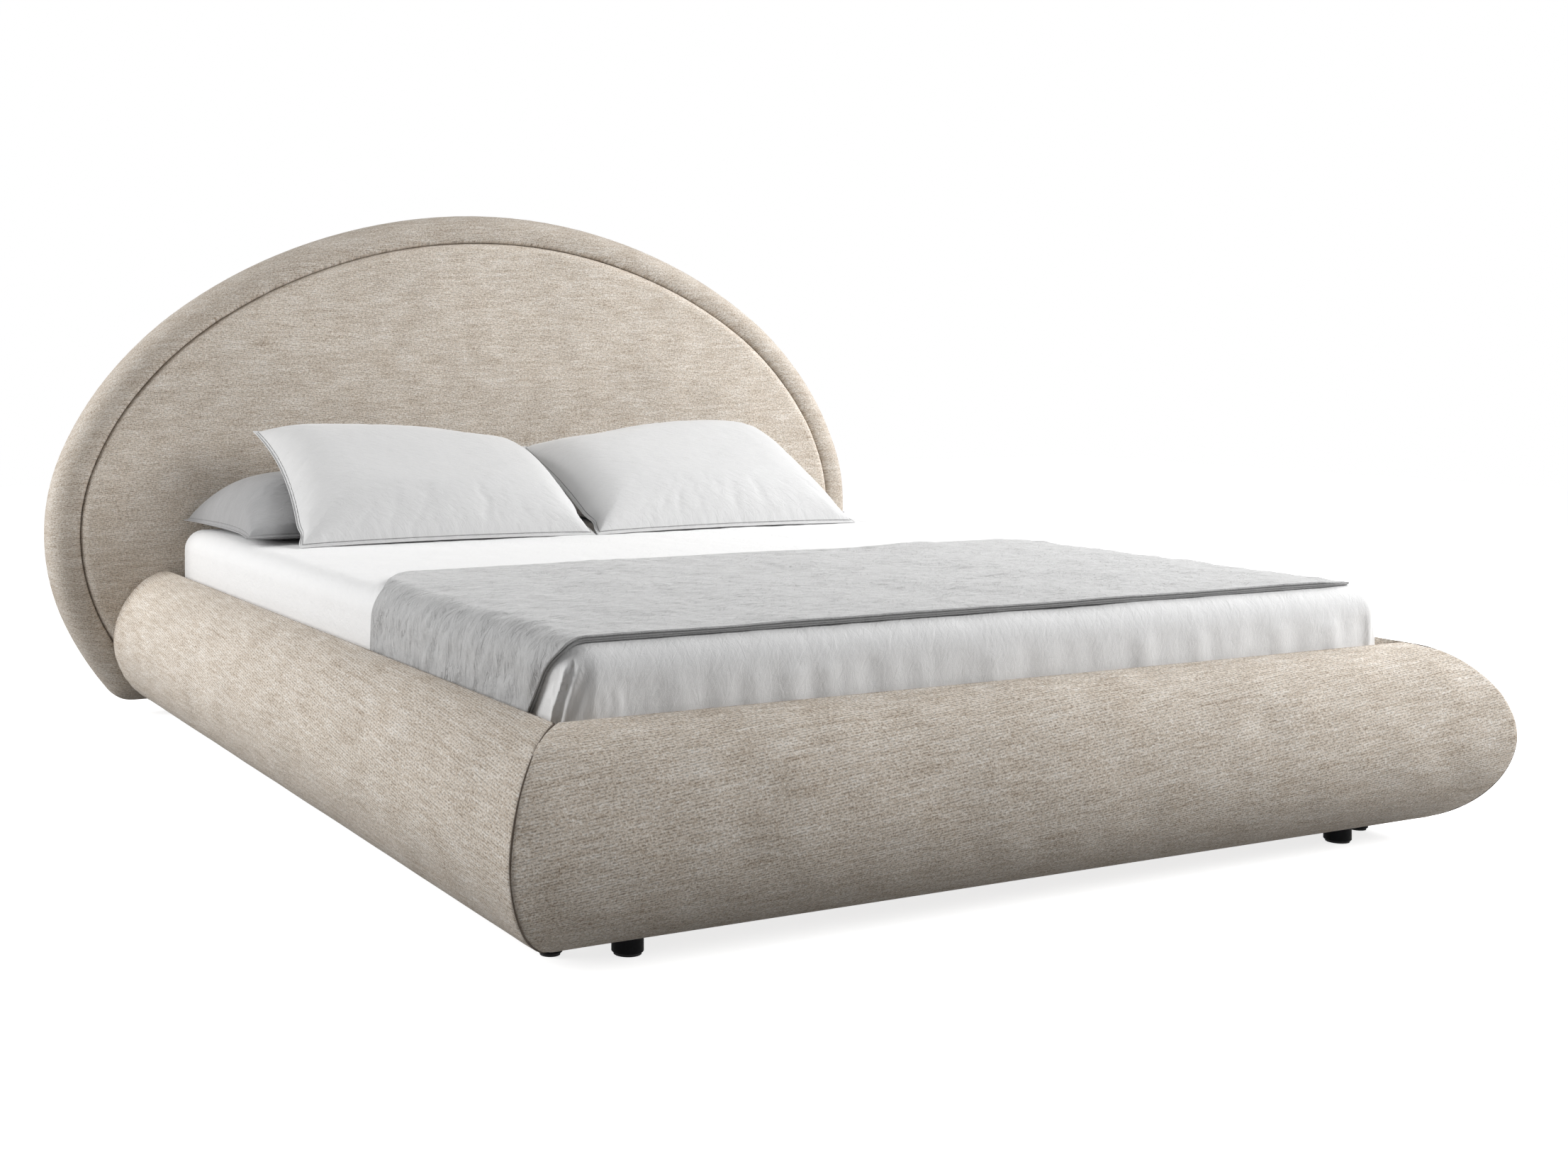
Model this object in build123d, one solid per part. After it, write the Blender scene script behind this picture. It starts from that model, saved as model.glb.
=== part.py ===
"""Upholstered bed with an elliptical headboard and rounded bolster rails.

The bed stands on the floor plane. X runs across it, Y from the foot to the head, Z up.
The origin lies on the floor, midway along and across the bed. All sizes are in millimetres.
"""

from build123d import *
from math import asin, copysign, cos, degrees, pi, sin, sqrt
import os

# Mattress and the well that it drops into
MATTRESS_WIDTH = 1600.0
MATTRESS_LENGTH = 2000.0
MATTRESS_THICKNESS = 200.0
MATTRESS_CORNER_RADIUS = 50.0
MATTRESS_EDGE_RADIUS = 42.0
MATTRESS_SIDE_GAP = 27.0
MATTRESS_END_GAP = 15.0

# Bolster rails along the sides and the foot
RAIL_THICKNESS = 129.0
RAIL_HEIGHT = 308.0
RAIL_FLOOR_GAP = 32.0
RAIL_FULLNESS_SHARE = 0.93
RAIL_CURVE_SPANS = 4
BOARD_THICKNESS = 25.0
BOARD_PADDING = 29.0

# Headboard: an upright ellipse cut off near the floor, wider than the well at each side
HEADBOARD_OVERHANG = 270.0
HEADBOARD_TOP = 1195.0
HEADBOARD_WAIST_HEIGHT = 426.0
HEADBOARD_FLOOR_GAP = 36.0
HEADBOARD_DEPTH = 99.0
HEADBOARD_FULLNESS_SHARE = 0.96
HEADBOARD_CURVE_SPANS = 8
HEADBOARD_CORNER_RADIUS = 64.0
RIM_WIDTH = 71.0
RIM_SETBACK = 6.0
RIM_FRONT_RADIUS = 42.0
RIM_BACK_RADIUS = 20.0
RIM_INNER_RADIUS = 13.0
PANEL_PAD_DEPTH = 55.0
PANEL_EDGE_RADIUS = 18.0
CORE_THICKNESS = 18.0
CORE_INSET = 30.0
BACK_COVER_THICKNESS = 4.0
BATTEN_WIDTH = 60.0
BATTEN_SIDE_INSET = 537.0
BATTEN_END_GAP = 12.0

# Legs, from the floor up
PAD_THICKNESS = 3.0
PAD_MARGIN = 3.0
LEG_HEIGHT = 149.0
LEG_CHAMFER = 1.5
FOOT_LEG_DIAMETER = 46.0
FOOT_LEG_SIDE_INSET = 127.0
SIDE_LEG_DIAMETER = 35.0
SIDE_LEG_END_INSET = 71.0
STUD_DIAMETER = 8.0
STUD_LENGTH = 60.0
STUD_GRIP = 30.0

# Adjustable centre legs
CENTRE_LEG_DIAMETER = 35.0
CENTRE_LEG_END_INSET = 515.0
GLIDE_DIAMETER = 30.0
GLIDE_THICKNESS = 6.0
GLIDE_STEM_DIAMETER = 8.0
GLIDE_STEM_LENGTH = 40.0
RUNNING_CLEARANCE = 0.08

# Cleats that carry the sprung base
CLEAT_WIDTH = 54.0
CLEAT_HEIGHT = 40.0

# Sprung base: a welded tube frame with two rows of bowed slats
TUBE_WIDTH = 40.0
TUBE_HEIGHT = 25.0
TUBE_WALL = 1.5
TUBE_CORNER_RADIUS = 3.0
CAP_DEPTH = 12.0
SLAT_COUNT = 14
SLAT_WIDTH = 53.0
SLAT_THICKNESS = 8.0
SLAT_BOW = 6.0
SLAT_END_GAP = 10.0
SLAT_EDGE_RADIUS = 2.0
HOLDER_LENGTH = 36.0
HOLDER_BASE = 4.0
HOLDER_WALL = 4.0
HOLDER_CORNER_RADIUS = 5.0

# Steel angles and their bolts
BRACKET_LEG = 60.0
BRACKET_HEIGHT = 100.0
BRACKET_THICKNESS = 3.0
BRACKET_LIFT = 8.0
BRACKET_END_MARGIN = 20.0
BRACKET_CORNER_RADIUS = 8.0
BOLT_DIAMETER = 8.0
BOLT_HEAD_DIAMETER = 16.0
BOLT_HEAD_HEIGHT = 4.5
BOLT_SOCKET_WIDTH = 5.0
BOLT_SOCKET_DEPTH = 2.5
BOLT_REACH = 18.0
NUT_WIDTH = 13.0
NUT_THICKNESS = 6.5
WASHER_DIAMETER = 20.0
WASHER_THICKNESS = 1.6

# Bedding
SHEET_THICKNESS = 2.5
SHEET_HEM_LIFT = 10.0
THROW_THICKNESS = 10.0
THROW_FOOT_INSET = 30.0
THROW_LENGTH = 855.0
THROW_DROP = 150.0
THROW_STRAIGHT_DROP = 60.0
THROW_FOLD_DEPTH = 5.0
THROW_FOLD_ARCS = 8
THROW_SWERVE = 130.0
PILLOW_WIDTH = 700.0
PILLOW_DEPTH = 490.0
FRONT_PILLOW_CROWN = 76.0
FRONT_PILLOW_BACK_CROWN = 6.0
FRONT_PILLOW_RISE = 218.6
FRONT_PILLOW_LEAD = 83.0
FRONT_PILLOW_GAP = 8.0
REAR_PILLOW_CROWN = 105.0
REAR_PILLOW_UNDER_CROWN = 18.0
REAR_PILLOW_WALL_GAP = 6.0
REAR_PILLOW_GAP = 180.0
REAR_PILLOW_LEAN = 25.0

# Clearances
FIT_CLEARANCE = 0.15
SOFT_CLEARANCE = 0.3
CUT_OVERRUN = 5.0

# Pillow levels: height, inset and inward bow of each outline, as shares of crown and depth
PILLOW_HEIGHT_SHARES = (0.0, 0.45, 0.80, 1.0)
PILLOW_INSET_SHARES = (0.0, 0.07, 0.17, 0.32)
PILLOW_BOW_SHARES = (0.055, 0.012, -0.03, -0.075)

# Plan: the well, the outer faces and the places that follow from them
WELL_WIDTH = MATTRESS_WIDTH + 2 * MATTRESS_SIDE_GAP
WELL_LENGTH = MATTRESS_LENGTH + 2 * MATTRESS_END_GAP
BED_LENGTH = RAIL_THICKNESS + WELL_LENGTH + HEADBOARD_DEPTH
WELL_X = WELL_WIDTH / 2
FOOT_Y = -BED_LENGTH / 2 + RAIL_THICKNESS
HEAD_Y = FOOT_Y + WELL_LENGTH
BACK_Y = HEAD_Y + HEADBOARD_DEPTH
MIDDLE_Y = (FOOT_Y + HEAD_Y) / 2

# Levels above the floor
RAIL_TOP = RAIL_FLOOR_GAP + RAIL_HEIGHT
BOARD_BOTTOM = RAIL_FLOOR_GAP + BOARD_PADDING
BOARD_TOP = RAIL_TOP - BOARD_PADDING
CLEAT_BOTTOM = PAD_THICKNESS + LEG_HEIGHT
CLEAT_TOP = CLEAT_BOTTOM + CLEAT_HEIGHT
TUBE_TOP = CLEAT_TOP + TUBE_HEIGHT
SLAT_SEAT = TUBE_TOP + HOLDER_BASE
SLAT_CREST = SLAT_SEAT + SLAT_THICKNESS + SLAT_BOW
MATTRESS_BOTTOM = SLAT_CREST + SOFT_CLEARANCE
MATTRESS_TOP = MATTRESS_BOTTOM + MATTRESS_THICKNESS
SHEET_TOP = MATTRESS_TOP + SOFT_CLEARANCE + SHEET_THICKNESS

# Sprung base in plan
BASE_X = MATTRESS_WIDTH / 2
BASE_FOOT_Y = MIDDLE_Y - MATTRESS_LENGTH / 2
BASE_HEAD_Y = MIDDLE_Y + MATTRESS_LENGTH / 2
TUBE_CENTRE_X = BASE_X - TUBE_WIDTH / 2

# Headboard: half axes of its outline, and depths from its front face to its back face
HEADBOARD_HALF_WIDTH = WELL_X + HEADBOARD_OVERHANG
HEADBOARD_RISE = HEADBOARD_TOP - HEADBOARD_WAIST_HEIGHT
HEADBOARD_POWER = 2 * HEADBOARD_FULLNESS_SHARE
RIM_Y = HEAD_Y + RIM_SETBACK
CORE_Y = HEAD_Y + PANEL_PAD_DEPTH
BATTEN_Y = CORE_Y + CORE_THICKNESS
COVER_Y = BACK_Y - BACK_COVER_THICKNESS


def block(x0, x1, y0, y1, z0, z1):
    """Rectangular block between two corners."""
    size = Box(x1 - x0, y1 - y0, z1 - z0)
    return Pos((x0 + x1) / 2, (y0 + y1) / 2, (z0 + z1) / 2) * size


def upright_face(face, y):
    """Lay a face drawn in X and height on the upright plane at depth y, facing the foot."""
    return Plane((0, y, 0), x_dir=(1, 0, 0), z_dir=(0, -1, 0)) * face


def slab(face, front, back):
    """Plate with an upright outline between two depths."""
    return extrude(upright_face(face, back), back - front)


def signed_power(base, power):
    """Power of a number's size that keeps its sign."""
    return copysign(abs(base) ** power, base)


def oval_place(angle, power, half_width, half_height):
    """Point of a superellipse, an ellipse when power is 2, and its direction there."""
    across = signed_power(cos(angle), 2 / power)
    up = signed_power(sin(angle), 2 / power)
    normal_x = signed_power(across, power - 1) / half_width
    normal_y = signed_power(up, power - 1) / half_height
    return Vector(half_width * across, half_height * up), Vector(-normal_y, normal_x).normalized()


def tangent_arcs(places):
    """Smooth chain of arcs, two between each place and the next. A place has a direction."""
    arcs = []
    for (start, start_way), (end, end_way) in zip(places, places[1:]):
        span = end - start
        both = start_way + end_way
        turn = 1 - start_way.dot(end_way)
        along = span.dot(both)
        reach = (sqrt(along ** 2 + 2 * turn * span.dot(span)) - along) / (2 * turn)
        joint = (start + start_way * reach + end - end_way * reach) * 0.5
        arcs.append(TangentArc(start, joint, tangent=start_way))
        arcs.append(TangentArc(end, joint, tangent=-end_way))
    return arcs


def mirrored(piece):
    """The same piece on the other side of the bed."""
    return mirror(piece, about=Plane.YZ)


def cylinder_y(x, y0, y1, z, diameter):
    """Rod along Y."""
    return Pos(x, (y0 + y1) / 2, z) * Rot(90, 0, 0) * Cylinder(diameter / 2, abs(y1 - y0))


def cylinder_x(x0, x1, y, z, diameter):
    """Rod along X."""
    return Pos((x0 + x1) / 2, y, z) * Rot(0, 90, 0) * Cylinder(diameter / 2, abs(x1 - x0))


def cylinder_z(x, y, z0, z1, diameter):
    """Upright rod."""
    return Pos(x, y, (z0 + z1) / 2) * Cylinder(diameter / 2, abs(z1 - z0))


def prism(points, z0, z1):
    """Upright prism over a polygon in plan."""
    return Pos(0, 0, z0) * extrude(make_face(Polyline(*points, close=True)), z1 - z0)


# Headboard

def headboard_outline(inset, corner_radius=0):
    """Ellipse-like outline, drawn in by inset and cut straight across at the bottom."""
    half_width = HEADBOARD_HALF_WIDTH - inset
    rise = HEADBOARD_RISE - inset
    drop_share = (HEADBOARD_WAIST_HEIGHT - HEADBOARD_FLOOR_GAP) / rise
    start = -asin(drop_share ** HEADBOARD_FULLNESS_SHARE)
    step = (pi - 2 * start) / HEADBOARD_CURVE_SPANS
    places = [oval_place(start + step * i, HEADBOARD_POWER, half_width, rise)
              for i in range(HEADBOARD_CURVE_SPANS + 1)]
    base = Line(places[-1][0], places[0][0])
    face = Pos(0, HEADBOARD_WAIST_HEIGHT) * make_face(tangent_arcs(places) + [base])
    if corner_radius:
        face = fillet(face.vertices().group_by(Axis.Y)[0], corner_radius)
    return face


def arch_height(x, inset):
    """Height of the drawn-in outline above the floor at a distance x from the middle."""
    across_share = abs(x) / (HEADBOARD_HALF_WIDTH - inset)
    up_share = (1 - across_share ** HEADBOARD_POWER) ** (1 / HEADBOARD_POWER)
    return HEADBOARD_WAIST_HEIGHT + (HEADBOARD_RISE - inset) * up_share


def inside_headboard(edge):
    """Whether an edge's middle lies inside the headboard's outer outline."""
    middle = edge @ 0.5
    across_share = abs(middle.X) / HEADBOARD_HALF_WIDTH
    up_share = abs(middle.Z - HEADBOARD_WAIST_HEIGHT) / HEADBOARD_RISE
    return across_share ** HEADBOARD_POWER + up_share ** HEADBOARD_POWER < 1


def headboard_rim():
    """Padded arch round the headboard, with a slot for the core board and an open back."""
    outer = slab(headboard_outline(0, HEADBOARD_CORNER_RADIUS), RIM_Y, BACK_Y)
    outer = fillet(outer.edges().group_by(Axis.Y)[0], RIM_FRONT_RADIUS)
    outer = fillet(outer.edges().group_by(Axis.Y)[-1], RIM_BACK_RADIUS)
    ring = slab(headboard_outline(-RIM_WIDTH), RIM_Y, BACK_Y)
    ring -= slab(headboard_outline(RIM_WIDTH), RIM_Y - CUT_OVERRUN, BACK_Y + CUT_OVERRUN)
    front_curves = ring.edges().group_by(Axis.Y)[0].filter_by(GeomType.CIRCLE)
    rim = outer & fillet(front_curves.filter_by(inside_headboard), RIM_INNER_RADIUS)
    return rim - slab(headboard_outline(CORE_INSET), CORE_Y, BATTEN_Y)


def headboard_panel():
    """Raised pad inside the rim, with a rolled edge."""
    pad = slab(headboard_outline(RIM_WIDTH), HEAD_Y, CORE_Y)
    pad = fillet(pad.edges().group_by(Axis.Y)[0], PANEL_EDGE_RADIUS)
    return pad - head_bolt_holes(HEAD_Y - CUT_OVERRUN, CORE_Y + CUT_OVERRUN)


def headboard_core():
    """Plywood board that carries the pads, the battens and the rails."""
    board = slab(headboard_outline(CORE_INSET, HEADBOARD_CORNER_RADIUS), CORE_Y, BATTEN_Y)
    return board - head_bolt_holes(CORE_Y - CUT_OVERRUN, BATTEN_Y + CUT_OVERRUN)


def headboard_batten(x):
    """Upright timber batten behind the core, as tall as the arch allows."""
    outer_edge = abs(x) + BATTEN_WIDTH / 2
    top = arch_height(outer_edge, RIM_WIDTH) - BATTEN_END_GAP
    bottom = HEADBOARD_FLOOR_GAP + BATTEN_END_GAP
    return block(x - BATTEN_WIDTH / 2, x + BATTEN_WIDTH / 2, BATTEN_Y, COVER_Y, bottom, top)


def headboard_back_cover():
    """Thin cover that closes the back inside the rim."""
    return slab(headboard_outline(RIM_WIDTH), COVER_Y, BACK_Y)


# Rails

def rail_profile():
    """Flat on the well's side and swollen outwards: half a superellipse."""
    places = [oval_place(pi * (i / RAIL_CURVE_SPANS - 0.5), 2 * RAIL_FULLNESS_SHARE,
                         RAIL_THICKNESS, RAIL_HEIGHT / 2)
              for i in range(RAIL_CURVE_SPANS + 1)]
    flat = Line(places[-1][0], places[0][0])
    return Pos(0, RAIL_FLOOR_GAP + RAIL_HEIGHT / 2) * make_face(tangent_arcs(places) + [flat])


def side_plan(thickness):
    """Plan of a right-hand side piece: square at the head, mitred at the foot."""
    return [(WELL_X, FOOT_Y), (WELL_X + thickness, FOOT_Y - thickness),
            (WELL_X + thickness, HEAD_Y), (WELL_X, HEAD_Y)]


def foot_plan(thickness):
    """Plan of a foot piece, mitred at both ends."""
    outer_x, outer_y = WELL_X + thickness, FOOT_Y - thickness
    return [(-outer_x, outer_y), (outer_x, outer_y), (WELL_X, FOOT_Y), (-WELL_X, FOOT_Y)]


def side_board():
    """Right-hand structural board, with the bolt holes of both brackets."""
    board = prism(side_plan(BOARD_THICKNESS), BOARD_BOTTOM, BOARD_TOP)
    for y in side_bolt_places():
        for z in bracket_bolt_levels():
            board -= cylinder_x(WELL_X - CUT_OVERRUN, WELL_X + BOLT_REACH, y, z, BOLT_HOLE)
    return board


def foot_board():
    """Structural board across the foot, with the bolt holes of both corner brackets."""
    board = prism(foot_plan(BOARD_THICKNESS), BOARD_BOTTOM, BOARD_TOP)
    for x in (-CORNER_BOLT_X, CORNER_BOLT_X):
        for z in bracket_bolt_levels():
            board -= cylinder_y(x, FOOT_Y - BOLT_REACH, FOOT_Y + CUT_OVERRUN, z, BOLT_HOLE)
    return board


def side_rail():
    """Right-hand upholstered bolster round its board."""
    length = BED_LENGTH - HEADBOARD_DEPTH
    bar = extrude(upright_face(Pos(WELL_X, 0) * rail_profile(), HEAD_Y), length)
    bar = bar & prism(side_plan(RAIL_THICKNESS), RAIL_FLOOR_GAP, RAIL_TOP)
    return bar - prism(side_plan(BOARD_THICKNESS), BOARD_BOTTOM, BOARD_TOP)


def foot_rail():
    """Upholstered bolster across the foot round its board."""
    half_length = WELL_X + RAIL_THICKNESS
    across = Plane((half_length, FOOT_Y, 0), x_dir=(0, -1, 0), z_dir=(-1, 0, 0))
    bar = extrude(across * rail_profile(), 2 * half_length)
    bar = bar & prism(foot_plan(RAIL_THICKNESS), RAIL_FLOOR_GAP, RAIL_TOP)
    return bar - prism(foot_plan(BOARD_THICKNESS), BOARD_BOTTOM, BOARD_TOP)


# Legs and cleats

SIDE_LEG_X = WELL_X - CLEAT_WIDTH / 2
FOOT_LEG_X = WELL_X - FOOT_LEG_SIDE_INSET
FOOT_LEG_Y = FOOT_Y + CLEAT_WIDTH / 2
SIDE_LEG_PLACES = (FOOT_Y + SIDE_LEG_END_INSET, HEAD_Y - SIDE_LEG_END_INSET)
STUD_HOLE = STUD_DIAMETER + 2 * FIT_CLEARANCE
STUD_TOP = CLEAT_BOTTOM + STUD_GRIP


def leg(x, y, diameter):
    """Round moulded leg between its pad and a cleat, bored for its stud."""
    body = cylinder_z(x, y, PAD_THICKNESS, CLEAT_BOTTOM, diameter)
    body = chamfer(body.edges().group_by(Axis.Z)[0], LEG_CHAMFER)
    return body - cylinder_z(x, y, STUD_TOP - STUD_LENGTH, CLEAT_BOTTOM + CUT_OVERRUN, STUD_HOLE)


def pad(x, y, diameter):
    """Rubber pad under a leg."""
    return cylinder_z(x, y, 0, PAD_THICKNESS, diameter - 2 * PAD_MARGIN)


def stud(x, y):
    """Threaded stud from a leg into its cleat."""
    return cylinder_z(x, y, STUD_TOP - STUD_LENGTH, STUD_TOP, STUD_DIAMETER)


def stud_hole(x, y):
    """Hole in a cleat for a stud."""
    return cylinder_z(x, y, CLEAT_BOTTOM - CUT_OVERRUN, STUD_TOP, STUD_HOLE)


def leg_places():
    """Centre and diameter of each fixed leg."""
    places = [(side * FOOT_LEG_X, FOOT_LEG_Y, FOOT_LEG_DIAMETER) for side in (-1, 1)]
    for side in (-1, 1):
        places += [(side * SIDE_LEG_X, y, SIDE_LEG_DIAMETER) for y in SIDE_LEG_PLACES]
    return places


def side_cleat():
    """Right-hand timber cleat along the side board."""
    cleat = block(WELL_X - CLEAT_WIDTH, WELL_X, FOOT_Y, HEAD_Y, CLEAT_BOTTOM, CLEAT_TOP)
    for y in SIDE_LEG_PLACES:
        cleat -= stud_hole(SIDE_LEG_X, y)
    return cleat


def foot_cleat():
    """Timber cleat along the foot board, between the side cleats."""
    half = WELL_X - CLEAT_WIDTH
    cleat = block(-half, half, FOOT_Y, FOOT_Y + CLEAT_WIDTH, CLEAT_BOTTOM, CLEAT_TOP)
    for side in (-1, 1):
        cleat -= stud_hole(side * FOOT_LEG_X, FOOT_LEG_Y)
    return cleat


def head_cleat():
    """Timber cleat along the headboard, between the side cleats."""
    half = WELL_X - CLEAT_WIDTH
    return block(-half, half, HEAD_Y - CLEAT_WIDTH, HEAD_Y, CLEAT_BOTTOM, CLEAT_TOP)


# Adjustable centre legs

CENTRE_LEG_PLACES = (FOOT_Y + CENTRE_LEG_END_INSET, HEAD_Y - CENTRE_LEG_END_INSET)
GLIDE_BORE = GLIDE_STEM_DIAMETER + 2 * RUNNING_CLEARANCE
CENTRE_LEG_BOTTOM = GLIDE_THICKNESS + SOFT_CLEARANCE


def centre_leg(y):
    """Leg under the centre tube, bored for the glide's stem."""
    body = cylinder_z(0, y, CENTRE_LEG_BOTTOM, CLEAT_TOP, CENTRE_LEG_DIAMETER)
    body = chamfer(body.edges().group_by(Axis.Z)[0], LEG_CHAMFER)
    bore_top = CENTRE_LEG_BOTTOM + GLIDE_STEM_LENGTH + CUT_OVERRUN
    return body - cylinder_z(0, y, CENTRE_LEG_BOTTOM - CUT_OVERRUN, bore_top, GLIDE_BORE)


def centre_glide(y):
    """Levelling foot: a disc on a threaded stem that runs in the leg."""
    disc = cylinder_z(0, y, 0, GLIDE_THICKNESS, GLIDE_DIAMETER)
    disc = chamfer(disc.edges().group_by(Axis.Z)[0], LEG_CHAMFER)
    stem_top = CENTRE_LEG_BOTTOM + GLIDE_STEM_LENGTH
    return disc + cylinder_z(0, y, GLIDE_THICKNESS / 2, stem_top, GLIDE_STEM_DIAMETER)


# Sprung base

def tube_section():
    """Hollow rectangular tube section."""
    inner_radius = max(TUBE_CORNER_RADIUS - TUBE_WALL, TUBE_WALL / 2)
    outer = RectangleRounded(TUBE_WIDTH, TUBE_HEIGHT, TUBE_CORNER_RADIUS)
    inner = RectangleRounded(TUBE_WIDTH - 2 * TUBE_WALL, TUBE_HEIGHT - 2 * TUBE_WALL, inner_radius)
    return outer - inner


def tube_along_y(x, y0, y1):
    """Tube along the bed, resting on the cleats' level."""
    plane = Plane((x, y1, CLEAT_TOP + TUBE_HEIGHT / 2), x_dir=(1, 0, 0), z_dir=(0, -1, 0))
    return extrude(plane * tube_section(), y1 - y0)


def tube_along_x(x0, x1, y):
    """Tube across the bed, resting on the cleats' level."""
    plane = Plane((x0, y, CLEAT_TOP + TUBE_HEIGHT / 2), x_dir=(0, 1, 0), z_dir=(1, 0, 0))
    return extrude(plane * tube_section(), x1 - x0)


def end_cap(x, y, inward):
    """Plastic plug in the end of a side tube. inward is 1 at the foot and -1 at the head."""
    width = TUBE_WIDTH - 2 * (TUBE_WALL + FIT_CLEARANCE)
    height = TUBE_HEIGHT - 2 * (TUBE_WALL + FIT_CLEARANCE)
    centre = Pos(x, y + inward * CAP_DEPTH / 2, CLEAT_TOP + TUBE_HEIGHT / 2)
    plug = centre * Box(width, CAP_DEPTH, height)
    return fillet(plug.edges().filter_by(Axis.Y), TUBE_WALL)


def slat_places():
    """Y of each slat, evenly spaced between the end tubes."""
    first = BASE_FOOT_Y + TUBE_WIDTH + SLAT_WIDTH
    last = BASE_HEAD_Y - TUBE_WIDTH - SLAT_WIDTH
    return [first + (last - first) * i / (SLAT_COUNT - 1) for i in range(SLAT_COUNT)]


SLAT_OUTER_X = TUBE_CENTRE_X + HOLDER_LENGTH / 2 - HOLDER_WALL
SLAT_INNER_X = SLAT_END_GAP / 2


def slat_band(y, width, growth):
    """Bowed slat of the right-hand row, grown on every face by growth."""
    x0, x1 = SLAT_INNER_X - growth, SLAT_OUTER_X + growth
    middle = (x0 + x1) / 2
    low, high = SLAT_SEAT - growth, SLAT_SEAT + SLAT_THICKNESS + growth
    top = ThreePointArc((x0, high), (middle, high + SLAT_BOW), (x1, high))
    under = ThreePointArc((x0, low), (middle, low + SLAT_BOW), (x1, low))
    ends = [Line((x0, low), (x0, high)), Line((x1, low), (x1, high))]
    half = width / 2 + growth
    return slab(make_face([top, under] + ends), y - half, y + half)


def slat(y):
    """One bowed slat of the right-hand row, with rounded end corners."""
    band = slat_band(y, SLAT_WIDTH, 0)
    return fillet(band.edges().filter_by(Axis.Z), SLAT_EDGE_RADIUS)


def holder(x, y, length):
    """Plastic cap on a tube that takes the slats' ends."""
    top = SLAT_SEAT + SLAT_THICKNESS + HOLDER_WALL
    half = SLAT_WIDTH / 2 + HOLDER_WALL
    cap = block(x - length / 2, x + length / 2, y - half, y + half, TUBE_TOP, top)
    return fillet(cap.edges().filter_by(Axis.Z), HOLDER_CORNER_RADIUS)


def side_holder(y):
    """Holder on the right-hand side tube."""
    return holder(TUBE_CENTRE_X, y, HOLDER_LENGTH) - slat_band(y, SLAT_WIDTH, FIT_CLEARANCE)


def centre_holder(y):
    """Double holder on the centre tube, one pocket to each side."""
    pocket = slat_band(y, SLAT_WIDTH, FIT_CLEARANCE)
    return holder(0, y, TUBE_WIDTH) - pocket - mirrored(pocket)


# Brackets and bolts

BOLT_HOLE = BOLT_DIAMETER + 2 * FIT_CLEARANCE
BRACKET_BOTTOM = CLEAT_TOP + BRACKET_LIFT
BRACKET_TOP = BRACKET_BOTTOM + BRACKET_HEIGHT
BRACKET_BOLT_OFFSET = (BRACKET_THICKNESS + BRACKET_LEG) / 2
CORNER_BOLT_X = WELL_X - BRACKET_BOLT_OFFSET
HEAD_BOLT_X = WELL_X - BRACKET_BOLT_OFFSET


def bracket_bolt_levels():
    """Heights of the two bolts in each leg of a bracket."""
    return (BRACKET_BOTTOM + BRACKET_END_MARGIN, BRACKET_TOP - BRACKET_END_MARGIN)


def side_bolt_places():
    """Y of the bolts in the side board: at the foot corner and at the headboard."""
    return (FOOT_Y + BRACKET_BOLT_OFFSET, HEAD_Y - BRACKET_BOLT_OFFSET)


def bracket(y, inward):
    """Steel angle in a right-hand corner of the well. inward is 1 at the foot, -1 at the head."""
    edge_x, edge_y = WELL_X - BRACKET_LEG, y + inward * BRACKET_LEG
    thick_x, thick_y = WELL_X - BRACKET_THICKNESS, y + inward * BRACKET_THICKNESS
    outline = [(WELL_X, y), (edge_x, y), (edge_x, thick_y), (thick_x, thick_y),
               (thick_x, edge_y), (WELL_X, edge_y)]
    angle = prism(outline, BRACKET_BOTTOM, BRACKET_TOP)
    tips = angle.edges().filter_by(Axis.Y).group_by(Axis.X)[0]
    tips += angle.edges().filter_by(Axis.X).group_by(Axis.Y)[-1 if inward > 0 else 0]
    angle = fillet(tips, BRACKET_CORNER_RADIUS)
    bolt_y = y + inward * BRACKET_BOLT_OFFSET
    for z in bracket_bolt_levels():
        angle -= cylinder_x(thick_x - CUT_OVERRUN, WELL_X + CUT_OVERRUN, bolt_y, z, BOLT_HOLE)
        low, high = sorted((y - inward * CUT_OVERRUN, thick_y + inward * CUT_OVERRUN))
        angle -= cylinder_y(CORNER_BOLT_X, low, high, z, BOLT_HOLE)
    return angle


def bolt(length):
    """Pan-head bolt along +Z, its head's seat at the origin, with a hexagon socket."""
    head = Pos(0, 0, -BOLT_HEAD_HEIGHT / 2) * Cylinder(BOLT_HEAD_DIAMETER / 2, BOLT_HEAD_HEIGHT)
    socket = extrude(RegularPolygon(BOLT_SOCKET_WIDTH / 2, 6, major_radius=False), BOLT_SOCKET_DEPTH)
    head -= Pos(0, 0, -BOLT_HEAD_HEIGHT) * socket
    shank_length = length + BOLT_HEAD_HEIGHT / 2
    shank = Cylinder(BOLT_DIAMETER / 2, shank_length)
    return head + Pos(0, 0, length - shank_length / 2) * shank


def corner_bolts():
    """Short bolts through the brackets into the boards, on both sides."""
    length = BRACKET_THICKNESS + BOLT_REACH - FIT_CLEARANCE
    bolts = []
    for z in bracket_bolt_levels():
        for y in side_bolt_places():
            bolts.append(Pos(WELL_X - BRACKET_THICKNESS, y, z) * Rot(0, 90, 0) * bolt(length))
        seat = Pos(CORNER_BOLT_X, FOOT_Y + BRACKET_THICKNESS, z)
        bolts.append(seat * Rot(90, 0, 0) * bolt(length))
    return bolts + [mirrored(one) for one in bolts]


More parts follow.
